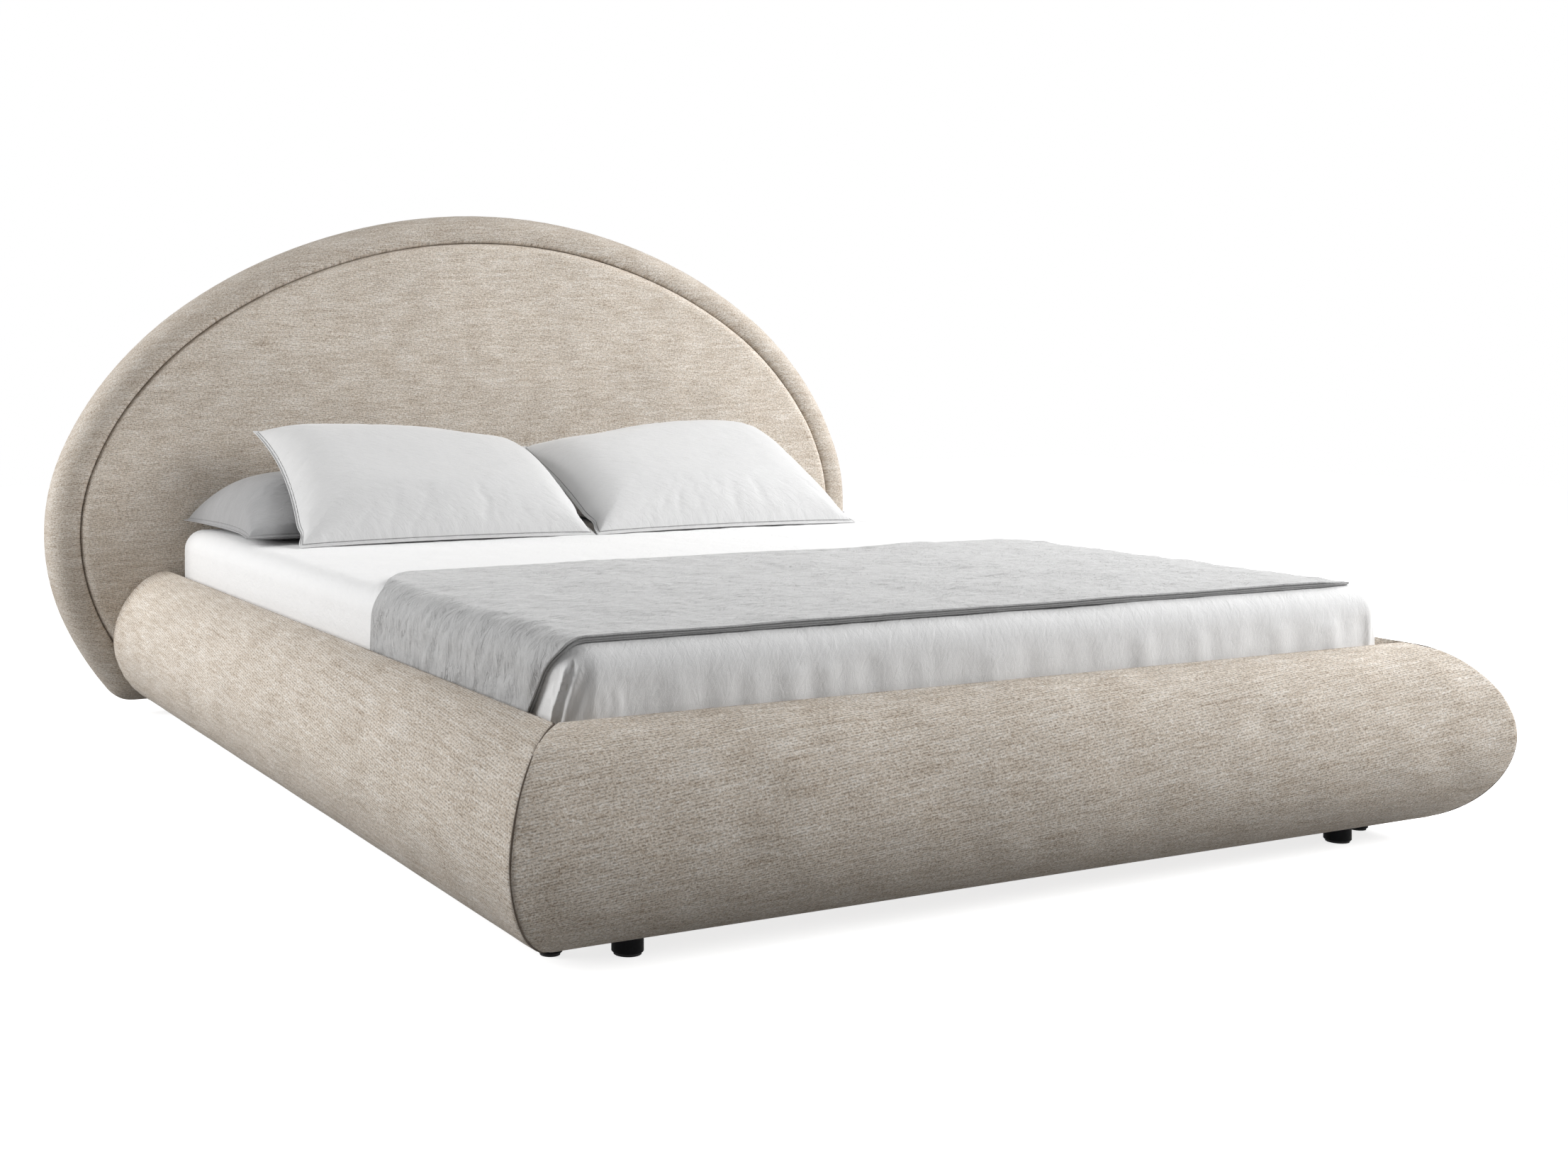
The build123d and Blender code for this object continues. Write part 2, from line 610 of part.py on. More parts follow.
def head_bolts():
    """Long bolts through the headboard, with washer and nut behind the core board."""
    grip = BRACKET_THICKNESS + BATTEN_Y - HEAD_Y
    nut = extrude(RegularPolygon(NUT_WIDTH / 2, 6, major_radius=False), NUT_THICKNESS)
    nut += Cylinder(WASHER_DIAMETER / 2, WASHER_THICKNESS, align=(Align.CENTER, Align.CENTER, Align.MIN))
    bolts = []
    for z in bracket_bolt_levels():
        seat = Pos(HEAD_BOLT_X, HEAD_Y - BRACKET_THICKNESS, z) * Rot(-90, 0, 0)
        bolts.append(seat * (bolt(grip + NUT_THICKNESS) + Pos(0, 0, grip) * nut))
    return bolts + [mirrored(one) for one in bolts]


def head_bolt_holes(front, back):
    """Holes for the long bolts between two depths."""
    holes = Part()
    for side in (-1, 1):
        for z in bracket_bolt_levels():
            holes += cylinder_y(side * HEAD_BOLT_X, front, back, z, BOLT_HOLE)
    return holes


# Bedding

def mattress_form(growth, bottom):
    """Rounded block of the mattress, grown outwards by growth, from bottom to its top."""
    half_x = MATTRESS_WIDTH / 2 + growth
    half_y = MATTRESS_LENGTH / 2 + growth
    form = block(-half_x, half_x, MIDDLE_Y - half_y, MIDDLE_Y + half_y, bottom, MATTRESS_TOP + growth)
    form = fillet(form.edges().filter_by(Axis.Z), MATTRESS_CORNER_RADIUS + growth)
    return fillet(form.edges().group_by(Axis.Z)[-1], MATTRESS_EDGE_RADIUS + growth)


def mattress():
    """Foam mattress."""
    form = mattress_form(0, MATTRESS_BOTTOM)
    return fillet(form.edges().group_by(Axis.Z)[0], MATTRESS_EDGE_RADIUS / 2)


def fitted_sheet():
    """Sheet over the top and the sides of the mattress."""
    bottom = MATTRESS_BOTTOM + SHEET_HEM_LIFT
    outer = mattress_form(SOFT_CLEARANCE + SHEET_THICKNESS, bottom)
    return outer - mattress_form(SOFT_CLEARANCE, bottom - CUT_OVERRUN)


THROW_FRONT = BASE_FOOT_Y + THROW_FOOT_INSET
THROW_BACK = THROW_FRONT + THROW_LENGTH
THROW_STRIP_TOP = MATTRESS_TOP - THROW_STRAIGHT_DROP
THROW_HEM = MATTRESS_TOP - THROW_DROP
THROW_INNER_GROWTH = 2 * SOFT_CLEARANCE + SHEET_THICKNESS
THROW_OUTER_GROWTH = THROW_INNER_GROWTH + THROW_THICKNESS


def throw_section(growth, bottom):
    """Section across the bed over the covered mattress, grown outwards by growth."""
    width = MATTRESS_WIDTH + 2 * growth
    top = MATTRESS_TOP + growth
    outline = Pos(0, (top + bottom) / 2) * Rectangle(width, top - bottom)
    upper = outline.vertices().group_by(Axis.Y)[-1]
    return fillet(upper, MATTRESS_EDGE_RADIUS + growth)


def throw_strip_plan(z, depth):
    """Plan of the right-hand hanging strip at one level, waved outwards by twice the depth."""
    step = THROW_LENGTH / THROW_FOLD_ARCS
    ends = []
    waves = []
    for growth in (THROW_INNER_GROWTH, THROW_OUTER_GROWTH):
        x = MATTRESS_WIDTH / 2 + growth + depth
        ends.append(x)
        for i in range(THROW_FOLD_ARCS):
            start, end = (x, THROW_FRONT + step * i), (x, THROW_FRONT + step * (i + 1))
            middle = (x + (depth if i % 2 else -depth), THROW_FRONT + step * (i + 0.5))
            waves.append(ThreePointArc(start, middle, end) if depth else Line(start, end))
    caps = [Line((ends[0], y), (ends[1], y)) for y in (THROW_FRONT, THROW_BACK)]
    return Pos(0, 0, z) * make_face(waves + caps)


def bed_throw():
    """Padded throw across the foot half, hanging in soft folds over both sides."""
    arch = slab(throw_section(THROW_OUTER_GROWTH, THROW_STRIP_TOP), THROW_FRONT, THROW_BACK)
    arch -= slab(throw_section(THROW_INNER_GROWTH, THROW_STRIP_TOP - CUT_OVERRUN),
                 THROW_FRONT - CUT_OVERRUN, THROW_BACK + CUT_OVERRUN)
    strip = loft([throw_strip_plan(THROW_HEM, THROW_FOLD_DEPTH),
                  throw_strip_plan(THROW_STRIP_TOP, 0)], ruled=True)
    arch += [strip, mirrored(strip)]
    swerved_back = THROW_BACK - THROW_SWERVE
    past_back = THROW_BACK + CUT_OVERRUN
    past_hem = THROW_HEM - CUT_OVERRUN
    corner = [(swerved_back, THROW_HEM), (swerved_back, past_hem), (past_back, past_hem),
              (past_back, SHEET_TOP)]
    edge_x = MATTRESS_WIDTH / 2 - MATTRESS_EDGE_RADIUS
    side = Plane((-edge_x, 0, 0), x_dir=(0, 1, 0), z_dir=(1, 0, 0))
    wedge = side * make_face(Polyline(*corner, close=True))
    return arch - extrude(wedge, edge_x - WELL_X)


def pillow_outline(inset, bow):
    """Four arcs round a pillow, drawn in by inset, each bowed inwards by bow at its middle."""
    w, d = PILLOW_WIDTH / 2 - inset, PILLOW_DEPTH / 2 - inset
    arcs = [ThreePointArc((-w, -d), (0, -d + bow), (w, -d)),
            ThreePointArc((w, -d), (w - bow, 0), (w, d)),
            ThreePointArc((w, d), (0, d - bow), (-w, d)),
            ThreePointArc((-w, d), (-w + bow, 0), (-w, -d))]
    return make_face(arcs)


def pillow_half(crown, lean):
    """One side of a pillow, lofted from the seam to the crown, which leans along Y."""
    levels = zip(PILLOW_HEIGHT_SHARES, PILLOW_INSET_SHARES, PILLOW_BOW_SHARES)
    return loft([Pos(0, lean * height, crown * height)
                 * pillow_outline(PILLOW_DEPTH * inset, PILLOW_DEPTH * bow)
                 for height, inset, bow in levels])


def pillow(crown, under_crown, lean=0):
    """Pillow lying in the XY plane with its seam at height zero."""
    return pillow_half(crown, lean) + pillow_half(-under_crown, 0)


def front_pillow_place(side):
    """Where a front pillow's seam lies: leaning back, its lower edge on the sheet."""
    tilt = asin(FRONT_PILLOW_RISE / PILLOW_DEPTH)
    x = side * (PILLOW_WIDTH + FRONT_PILLOW_GAP) / 2
    front = HEAD_Y - PILLOW_DEPTH - FRONT_PILLOW_LEAD
    y = front + PILLOW_DEPTH / 2 * cos(tilt)
    z = SHEET_TOP + SOFT_CLEARANCE + FRONT_PILLOW_RISE / 2
    return Pos(x, y, z) * Rot(degrees(tilt), 0, 0)


def front_pillow(side):
    """Pillow that leans back on the one behind it."""
    return front_pillow_place(side) * pillow(FRONT_PILLOW_CROWN, FRONT_PILLOW_BACK_CROWN)


def rear_pillow(side):
    """Pillow that lies flat behind, its front pressed flat by the one that leans on it."""
    x = side * (PILLOW_WIDTH + REAR_PILLOW_GAP) / 2
    y = HEAD_Y - REAR_PILLOW_WALL_GAP - PILLOW_DEPTH / 2
    z = SHEET_TOP + SOFT_CLEARANCE + REAR_PILLOW_UNDER_CROWN
    form = pillow(REAR_PILLOW_CROWN, REAR_PILLOW_UNDER_CROWN, REAR_PILLOW_LEAN)
    low = -FRONT_PILLOW_BACK_CROWN - SOFT_CLEARANCE
    pressed = block(-PILLOW_WIDTH, PILLOW_WIDTH, -PILLOW_DEPTH, PILLOW_DEPTH, low, PILLOW_DEPTH)
    return Pos(x, y, z) * form - front_pillow_place(side) * pressed


def pieces():
    """Every sub-part by name."""
    parts = {
        "headboard_rim": headboard_rim(),
        "headboard_panel": headboard_panel(),
        "headboard_core": headboard_core(),
        "headboard_back_cover": headboard_back_cover(),
        "headboard_batten_left": headboard_batten(BATTEN_SIDE_INSET - HEADBOARD_HALF_WIDTH),
        "headboard_batten_centre": headboard_batten(0),
        "headboard_batten_right": headboard_batten(HEADBOARD_HALF_WIDTH - BATTEN_SIDE_INSET),
        "foot_rail": foot_rail(),
        "foot_board": foot_board(),
        "foot_cleat": foot_cleat(),
        "head_cleat": head_cleat(),
        "base_tube_foot": tube_along_x(-BASE_X + TUBE_WIDTH, BASE_X - TUBE_WIDTH,
                                       BASE_FOOT_Y + TUBE_WIDTH / 2),
        "base_tube_head": tube_along_x(-BASE_X + TUBE_WIDTH, BASE_X - TUBE_WIDTH,
                                       BASE_HEAD_Y - TUBE_WIDTH / 2),
        "base_tube_centre": tube_along_y(0, BASE_FOOT_Y + TUBE_WIDTH, BASE_HEAD_Y - TUBE_WIDTH),
        "corner_bolts": Compound(children=corner_bolts()),
        "headboard_bolts": Compound(children=head_bolts()),
        "mattress": mattress(),
        "fitted_sheet": fitted_sheet(),
        "throw": bed_throw(),
    }
    right = {
        "side_rail": side_rail(),
        "side_board": side_board(),
        "side_cleat": side_cleat(),
        "corner_bracket": bracket(FOOT_Y, 1),
        "headboard_bracket": bracket(HEAD_Y, -1),
        "base_tube": tube_along_y(TUBE_CENTRE_X, BASE_FOOT_Y, BASE_HEAD_Y),
    }
    for name, piece in right.items():
        parts[name + "_right"] = piece
        parts[name + "_left"] = mirrored(piece)
    slats = [slat(y) for y in slat_places()]
    holders = [side_holder(y) for y in slat_places()]
    parts["slats_right"] = Compound(children=slats)
    parts["slats_left"] = Compound(children=[mirrored(one) for one in slats])
    parts["slat_holders_right"] = Compound(children=holders)
    parts["slat_holders_left"] = Compound(children=[mirrored(one) for one in holders])
    parts["slat_holders_centre"] = Compound(children=[centre_holder(y) for y in slat_places()])
    parts["tube_end_caps"] = Compound(children=[
        end_cap(side * TUBE_CENTRE_X, y, inward)
        for side in (-1, 1) for y, inward in ((BASE_FOOT_Y, 1), (BASE_HEAD_Y, -1))])
    names = ("foot_leg_left", "foot_leg_right", "side_leg_front_left", "side_leg_rear_left",
             "side_leg_front_right", "side_leg_rear_right")
    for name, (x, y, diameter) in zip(names, leg_places()):
        parts[name] = leg(x, y, diameter)
    parts["leg_pads"] = Compound(children=[pad(x, y, size) for x, y, size in leg_places()])
    parts["leg_studs"] = Compound(children=[stud(x, y) for x, y, size in leg_places()])
    for name, y in zip(("front", "rear"), CENTRE_LEG_PLACES):
        parts["centre_leg_" + name] = centre_leg(y)
        parts["centre_glide_" + name] = centre_glide(y)
    for name, side in (("left", -1), ("right", 1)):
        parts["front_pillow_" + name] = front_pillow(side)
        parts["rear_pillow_" + name] = rear_pillow(side)
    return parts


os.makedirs("parts", exist_ok=True)
for piece_name, piece in pieces().items():
    export_step(piece, "parts/" + piece_name + ".step")
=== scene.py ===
import math
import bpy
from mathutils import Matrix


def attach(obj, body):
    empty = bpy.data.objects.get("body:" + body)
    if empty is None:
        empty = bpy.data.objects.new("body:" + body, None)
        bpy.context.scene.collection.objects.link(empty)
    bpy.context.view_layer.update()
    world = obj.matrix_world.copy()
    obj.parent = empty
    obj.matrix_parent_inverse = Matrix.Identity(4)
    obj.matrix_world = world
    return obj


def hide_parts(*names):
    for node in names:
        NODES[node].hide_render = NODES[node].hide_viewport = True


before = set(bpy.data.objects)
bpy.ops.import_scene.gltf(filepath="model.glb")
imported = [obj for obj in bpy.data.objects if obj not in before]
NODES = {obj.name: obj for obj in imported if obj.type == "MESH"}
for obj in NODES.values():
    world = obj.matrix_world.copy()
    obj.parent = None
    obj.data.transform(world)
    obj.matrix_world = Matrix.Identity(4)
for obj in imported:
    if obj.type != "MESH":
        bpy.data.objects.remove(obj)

from types import SimpleNamespace

import bpy
import numpy as np
from mathutils import Matrix, Vector
from mathutils.bvhtree import BVHTree

SCENE = bpy.context.scene
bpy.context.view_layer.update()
TAU = 2 * math.pi

# All lengths are in metres, in the CAD frame

# Bolster rails
RAIL_INNER = 0.827
RAIL_THICKNESS = 0.129
RAIL_MIDDLE_Z = 0.186
RAIL_HALF_HEIGHT = 0.154
RAIL_POWER = 1.86
RAIL_FOOT = -1.0
RAIL_HEAD_END = 1.030
RAIL_CELL = 0.010
RAIL_INNER_RECESS = 0.002  # the fabric's inner face lies behind the boards' faces
RAIL_ARC_POINTS = 61
RAIL_INNER_POINTS = 24
RAIL_END = 0.03
RAIL_END_ROWS = (0, 0.0012, 0.0025, 0.004, 0.006, 0.009, 0.014, 0.021)
RAIL_WAVES = ((0.0011, 0.42), (0.0005, 0.13))
MITRE_GROOVE = 0.0030
HEAD_END_GROOVE = 0.0040
GROOVE_WIDTH = 0.0042
PUCKER_HEIGHT = 0.0007
PUCKER_PITCH = 0.030
PUCKER_REACH = 0.035
MITRE_SEAM_DEPTH = 0.0018
MITRE_SEAM_RADIUS = 0.0014

# Headboard outline
BOARD_HALF_WIDTH = 1.097
BOARD_WAIST = 0.426
BOARD_RISE = 0.769
BOARD_POWER = 1.92
BOARD_WAVES = ((0.0010, 0.40), (0.0004, 0.12))
BOARD_VOXEL = 0.006
BOARD_SMOOTH_STEPS = 4
RIM_FRONT = 1.036
PANEL_FRONT = 1.030

# Mattress, sheet and throw
BED_MIDDLE_Y = 0.015
MATTRESS_HALF_X = 0.800
MATTRESS_HALF_Y = 1.000
MATTRESS_TOP = 0.4353
MATTRESS_BOTTOM = 0.2353
MATTRESS_CORNER = 0.050
MATTRESS_EDGE = 0.042
MATTRESS_INWARD = 0.0018  # room under the sheet's folds
MATTRESS_CELL = 0.02
MATTRESS_FOOT_EDGE = 0.021
QUILT_PITCH = 0.11
QUILT_DEPTH = 0.0012
SHEET_GROWTH = 0.0028
SHEET_BOTTOM = 0.2453
SHEET_CLOTH = 0.0012
SHEET_CELL = 0.009
SHEET_ROW = 0.004
SHEET_CORNER_STEPS = 41
PLEAT_COLUMNS = (-0.7499, -0.70, 22)
PLEAT_LOW = (0.331, math.radians(14))
PLEAT_PINCH = (0.409, math.radians(41))
THROW_INNER_GROWTH = 0.0034
THROW_OUTER_GROWTH = 0.0131
THROW_FRONT = -0.955
THROW_BACK = -0.100
THROW_HEM = 0.2853
THROW_SLANT = 0.75
THROW_SLANT_TOP = 0.432
THROW_STRIP_TOP = 0.3753
THROW_FOLD_DEPTH = 0.005
THROW_FOLDS = 8
THROW_ROWS = 220
THROW_SINK = 0.0006
THROW_LOWERED = 0.0062
# The back edge's place along the bed, at lengths round the section from the left hem
THROW_BACK_EDGE = ((0, 0.055, 0.150, 0.172, 0.200, 0.244, 0.280, 0.32),
                   (-0.252, -0.252, -0.264, -0.248, -0.193, -0.122, -0.102, THROW_BACK))
# How far the front edge draws back, at lengths round the section from the right hem
THROW_TUCK = ((0, 0.108, 0.140, 0.160, 0.18, 0.20, 0.24),
              (0.160, 0.120, 0.085, 0.048, 0.020, 0.006, 0))

# Pillows
PILLOW_HALF_WIDTH = 0.350
PILLOW_HALF_DEPTH = 0.245
PILLOW_BOW = 0.027
PILLOW_LIP = 0.004
PILLOW_CORD = 0.0014
PILLOW_STITCH = 0.0009
PILLOW_LIP_PLACES = (0, 0.002, 0.004, 0.0065, 0.010)
PILLOW_COLUMNS = 84
PILLOW_ROWS = 58
PILLOW_SMOOTH_STEPS = 16
PILLOW_CROWN = 0.06
PILLOW_SEAM_HALF = 0.0009
FRONT_INNER_BOW = 0.006
FRONT_LOW_BOW = 0.008
FRONT_TILT = math.asin(0.2186 / 0.490)
FRONT_WAY = np.array([0, -math.sin(FRONT_TILT), math.cos(FRONT_TILT)])
FRONT_PLACE = (0.354, 0.457 + PILLOW_HALF_DEPTH * math.cos(FRONT_TILT), 0.5477)
REAR_PLACE = (0.440, 0.779, 0.4564)
# Pulls on the top corners of the left and the right front pillow: corner, reach and move
FRONT_PULLS = {
    -1: ((-1, (0.25, 0.33), (0.040, 0, 0.010)), (1, (0.24, 0.18), (-0.004, -0.042, -0.020))),
    1: ((-1, (0.28, 0.20), (0.004, -0.045, -0.022)), (1, (0.12, 0.12), (-0.020, -0.020, -0.010))),
}
FRONT_BACK_GAP = 0.0063
REAR_HELD_REACH = 0.004
SIM_FRAMES = 20
SIM_CAP = 0.010
SIM_SETTINGS = {
    "quality": 6, "mass": 0.25, "tension_stiffness": 18, "compression_stiffness": 14,
    "shear_stiffness": 6, "bending_stiffness": 0.12, "use_pressure": True,
    "uniform_pressure_force": 5.0, "shrink_min": -0.005, "vertex_group_mass": "held",
    "pin_stiffness": 1.0,
}

# Camera and light
CAMERA_PLACE = (-1.975, -3.311, 0.842)
CAMERA_TURN = math.radians(-26.0)
CAMERA_LENS = 43.37
CAMERA_SHIFT = (0.1546, -0.1486)
FLOOR_HALF = 9
FLOOR_Z = -0.0005
FLOOR_GLOW = 0.78
WORLD_LIGHT = 0.31
LAMPS = {  # place, target, size, watts
    "left_softbox": ((-3.8, 1.2, 1.8), (-0.9, 0.0, 0.3), (2.2, 1.8), 108),
    "front_softbox": ((3.0, -2.8, 2.2), (0.6, 0.0, 0.5), (2.0, 2.0), 117),
    "right_softbox": ((3.2, 0.2, 2.4), (0.6, 0.6, 0.5), (2.0, 2.0), 101),
}


# Shapes

def ripple(points, wavelength, seed, waves=26, spread=0.4):
    """Smooth random field with a spread of about one, the same on every run."""
    rng = np.random.default_rng(seed)
    way = rng.normal(size=(waves, points.shape[1]))
    way /= np.linalg.norm(way, axis=1)[:, None]
    length = wavelength * (1 + spread * rng.uniform(-1, 1, waves))
    phase = rng.uniform(0, TAU, waves)
    total = np.zeros(len(points))
    for w, l, p in zip(way, length, phase):
        total += np.cos(points @ w * (TAU / l) + p)
    return total / math.sqrt(waves / 2)


def uneven(points, seed, layers):
    """Sum of ripples, each a height and a wavelength."""
    return sum(height * ripple(points, wavelength, seed + number)
               for number, (height, wavelength) in enumerate(layers))


def smoothstep(x, low, high):
    """Smooth step from 0 at low to 1 at high."""
    t = np.clip((x - low) / (high - low), 0, 1)
    return t * t * (3 - 2 * t)


def bump_at(x, middle, width):
    """Bell of height one about a middle."""
    return np.exp(-((x - middle) / width) ** 2)


def running_length(path):
    """Length along a path of points, up to each of them."""
    return np.concatenate([[0], np.cumsum(np.linalg.norm(np.diff(path, axis=0), axis=1))])


def set_uv(mesh, uv):
    """Flat coordinates in metres, one pair per vertex."""
    layer = mesh.uv_layers.new(name="UVMap")
    index = np.zeros(len(mesh.loops), np.int32)
    mesh.loops.foreach_get("vertex_index", index)
    layer.data.foreach_set("uv", np.asarray(uv, np.float32)[index].ravel())


def mesh_piece(name, points, faces, uv=None):
    """Smooth-shaded object made of points and faces."""
    mesh = bpy.data.meshes.new(name)
    mesh.from_pydata(np.asarray(points, float).tolist(), [], faces)
    mesh.update()
    if uv is not None:
        set_uv(mesh, uv)
    mesh.polygons.foreach_set("use_smooth", [True] * len(mesh.polygons))
    piece = bpy.data.objects.new(name, mesh)
    SCENE.collection.objects.link(piece)
    return piece


def grid_faces(rows, columns, closed=False, flip=False, start=0):
    """Quads of a grid whose vertices run along the columns first."""
    faces = []
    last = columns if closed else columns - 1
    for r in range(rows - 1):
        for c in range(last):
            d = (c + 1) % columns
            a, b = start + r * columns + c, start + r * columns + d
            e, f = start + (r + 1) * columns + d, start + (r + 1) * columns + c
            faces.append((a, f, e, b) if flip else (a, b, e, f))
    return faces


def tube(name, path, radius, closed=False):
    """Round cord along a path of points."""
    sides = 8
    path = np.asarray(path, float)
    if closed:
        way = np.roll(path, -1, 0) - np.roll(path, 1, 0)
    else:
        way = np.gradient(path, axis=0)
    way /= np.linalg.norm(way, axis=1)[:, None]
    side = np.cross(way, np.array([0.31, 0.52, 0.79]))
    side /= np.linalg.norm(side, axis=1)[:, None]
    up = np.cross(way, side)
    angle = np.arange(sides) * TAU / sides
    ring = (np.cos(angle)[None, :, None] * side[:, None]
            + np.sin(angle)[None, :, None] * up[:, None])
    points = (path[:, None] + radius * ring).reshape(-1, 3)
    rows = len(path)
    faces = grid_faces(rows, sides, closed=True)
    if closed:
        for c in range(sides):
            d = (c + 1) % sides
            faces.append(((rows - 1) * sides + c, (rows - 1) * sides + d, d, c))
    else:
        faces.append(tuple(range(sides - 1, -1, -1)))
        faces.append(tuple(range((rows - 1) * sides, rows * sides)))
    uv = np.stack([np.repeat(running_length(path), sides), np.tile(angle * radius, rows)], 1)
    return mesh_piece(name, points, faces, uv)


# Materials

def set_sockets(node, sockets):
    """Sets sockets by their names, which are written with underscores."""
    for key, value in sockets.items():
        node.inputs[key.replace("_", " ")].default_value = value


def add_node(tree, kind, **sockets):
    node = tree.nodes.new("ShaderNode" + kind)
    set_sockets(node, sockets)
    return node


def new_material(name, roughness, **sockets):
    """Material with its tree and shader."""
    material = bpy.data.materials.new(name)
    material.use_nodes = True
    tree = material.node_tree
    shader = tree.nodes["Principled BSDF"]
    set_sockets(shader, {"Roughness": roughness, **sockets})
    return material, tree, shader


def coordinates(tree, kind, scale=(1, 1, 1), turn=0.0):
    """Texture coordinates, turned and then scaled."""
    source = add_node(tree, "TexCoord")
    mapping = add_node(tree, "Mapping")
    mapping.vector_type = "TEXTURE"
    set_sockets(mapping, {"Scale": [1 / s for s in scale], "Rotation": (0, 0, turn)})
    tree.links.new(source.outputs[kind], mapping.inputs["Vector"])
    return mapping.outputs["Vector"]


def noise(tree, vector, scale, detail=2.0, roughness=0.5, distortion=0.0):
    node = add_node(tree, "TexNoise", Scale=scale, Detail=detail, Roughness=roughness,
                    Distortion=distortion)
    tree.links.new(vector, node.inputs["Vector"])
    return node.outputs["Fac"]


def wave(tree, vector, pitch, distortion, detail_scale):
    """Bands across the Y axis, with the given pitch in metres."""
    node = add_node(tree, "TexWave", Scale=TAU / (20 * pitch), Distortion=distortion,
                    Detail=1.0, Detail_Scale=detail_scale)
    node.bands_direction = "Y"
    tree.links.new(vector, node.inputs["Vector"])
    return node.outputs["Fac"]


def math_node(tree, kind, a, b=None):
    """Math node of two values, each a socket or a number."""
    node = add_node(tree, "Math")
    node.operation = kind
    for socket, value in zip(node.inputs, (a, b)):
        if isinstance(value, (int, float)):
            socket.default_value = value
        elif value is not None:
            tree.links.new(value, socket)
    return node.outputs[0]


def weighted(tree, *parts):
    """Sum of sockets, each times its weight."""
    total = None
    for socket, weight in parts:
        part = math_node(tree, "MULTIPLY", socket, weight)
        total = part if total is None else math_node(tree, "ADD", total, part)
    return total


def ramp(tree, value, stops):
    """Colour ramp whose stops are a place and a colour or a grey."""
    node = add_node(tree, "ValToRGB")
    while len(node.color_ramp.elements) < len(stops):
        node.color_ramp.elements.new(0.5)
    for element, (place, colour) in zip(node.color_ramp.elements, stops):
        element.position = place
        element.color = (*colour, 1) if hasattr(colour, "__len__") else (colour, colour, colour, 1)
    tree.links.new(value, node.inputs["Fac"])
    return node.outputs["Color"]


def multiply_colour(tree, a, b):
    node = add_node(tree, "Mix")
    node.data_type = "RGBA"
    node.blend_type = "MULTIPLY"
    node.inputs["Factor"].default_value = 1.0
    tree.links.new(a, node.inputs[6])
    tree.links.new(b, node.inputs[7])
    return node.outputs[2]


def hair_lines(tree, vector, width, patches):
    """Thin grooves where a noise crosses its middle value, broken up by a second noise."""
    middle = math_node(tree, "SUBTRACT", noise(tree, vector, 1.0, 3.0, 0.55, 0.5), 0.5)
    away = ramp(tree, math_node(tree, "ABSOLUTE", middle), [(0.0, 1.0), (width, 0.0)])
    return math_node(tree, "MULTIPLY", away, ramp(tree, patches, [(0.46, 0.0), (0.60, 1.0)]))


def add_bump(tree, shader, *heights):
    """Chain of bumps, each a socket, a strength and a depth in metres."""
    normal = None
    for height, strength, depth in heights:
        node = add_node(tree, "Bump", Strength=strength, Distance=depth)
        tree.links.new(height, node.inputs["Height"])
        if normal is not None:
            tree.links.new(normal, node.inputs["Normal"])
        normal = node.outputs["Normal"]
    tree.links.new(normal, shader.inputs["Normal"])


YARN_COLOURS = ((0.40, 0.315, 0.24), (0.62, 0.535, 0.445), (0.76, 0.685, 0.60),
                (0.93, 0.885, 0.825))
YARN_PLACES = (0.39, 0.455, 0.52, 0.60)
ROW_TURN = 0.12
HOLE_SHADE = 0.38


def woven_upholstery(name, pitch, dark=1.0, depth=1.0):
    """Coarse flat weave in mixed brown and cream yarns.

    dark weighs the shade in the holes between the rows, and depth scales the colour of the yarns,
    so that a depth below one paints shade over the whole piece."""
    material, tree, shader = new_material(name, 0.95, Sheen_Weight=0.03, Specular_IOR_Level=0.12)
    plain = coordinates(tree, "UV")
    stroke = noise(tree, coordinates(tree, "UV", (120, 320, 1), ROW_TURN), 1.0, 2.0, 0.6)
    cross = noise(tree, coordinates(tree, "UV", (320, 130, 1), ROW_TURN), 1.0, 2.0, 0.6)
    fleck = noise(tree, plain, 430.0, 1.0, 0.6)
    streak = noise(tree, coordinates(tree, "UV", (13, 125, 1), 0.03), 1.0, 3.0, 0.6)
    melange = noise(tree, coordinates(tree, "UV", (13, 20, 1)), 1.0, 3.0, 0.6)
    patch = noise(tree, plain, 7.0, 2.0, 0.5)
    tone = weighted(tree, (stroke, 0.27), (cross, 0.19), (fleck, 0.23),
                    (streak, 0.20), (melange, 0.11))
    yarn = ramp(tree, tone, [(place, tuple(depth * c for c in colour))
                             for place, colour in zip(YARN_PLACES, YARN_COLOURS)])
    rows = wave(tree, coordinates(tree, "UV", (1, 1, 1), ROW_TURN), pitch, 1.1, 30.0)
    dash = noise(tree, coordinates(tree, "UV", (210, 300, 1), ROW_TURN), 1.0, 1.0, 0.5)
    holes = math_node(tree, "MULTIPLY", math_node(tree, "SUBTRACT", 1.0, rows),
                      ramp(tree, dash, [(0.40, 0.0), (0.60, 1.0)]))
    lattice = math_node(tree, "SUBTRACT", 1.0, holes)
    gaps = ramp(tree, holes, [(0.15, 1.0), (0.85, 1 - HOLE_SHADE * dark)])
    shade = ramp(tree, patch, [(0.3, 0.95), (0.7, 1.0)])
    colour = multiply_colour(tree, multiply_colour(tree, yarn, gaps), shade)
    tree.links.new(colour, shader.inputs["Base Color"])
    tree.links.new(ramp(tree, tone, [(0.3, 0.96), (0.7, 0.82)]), shader.inputs["Roughness"])
    add_bump(tree, shader, (lattice, 0.4, 0.0010), (tone, 0.45, 0.0010), (patch, 0.15, 0.004))
    return material


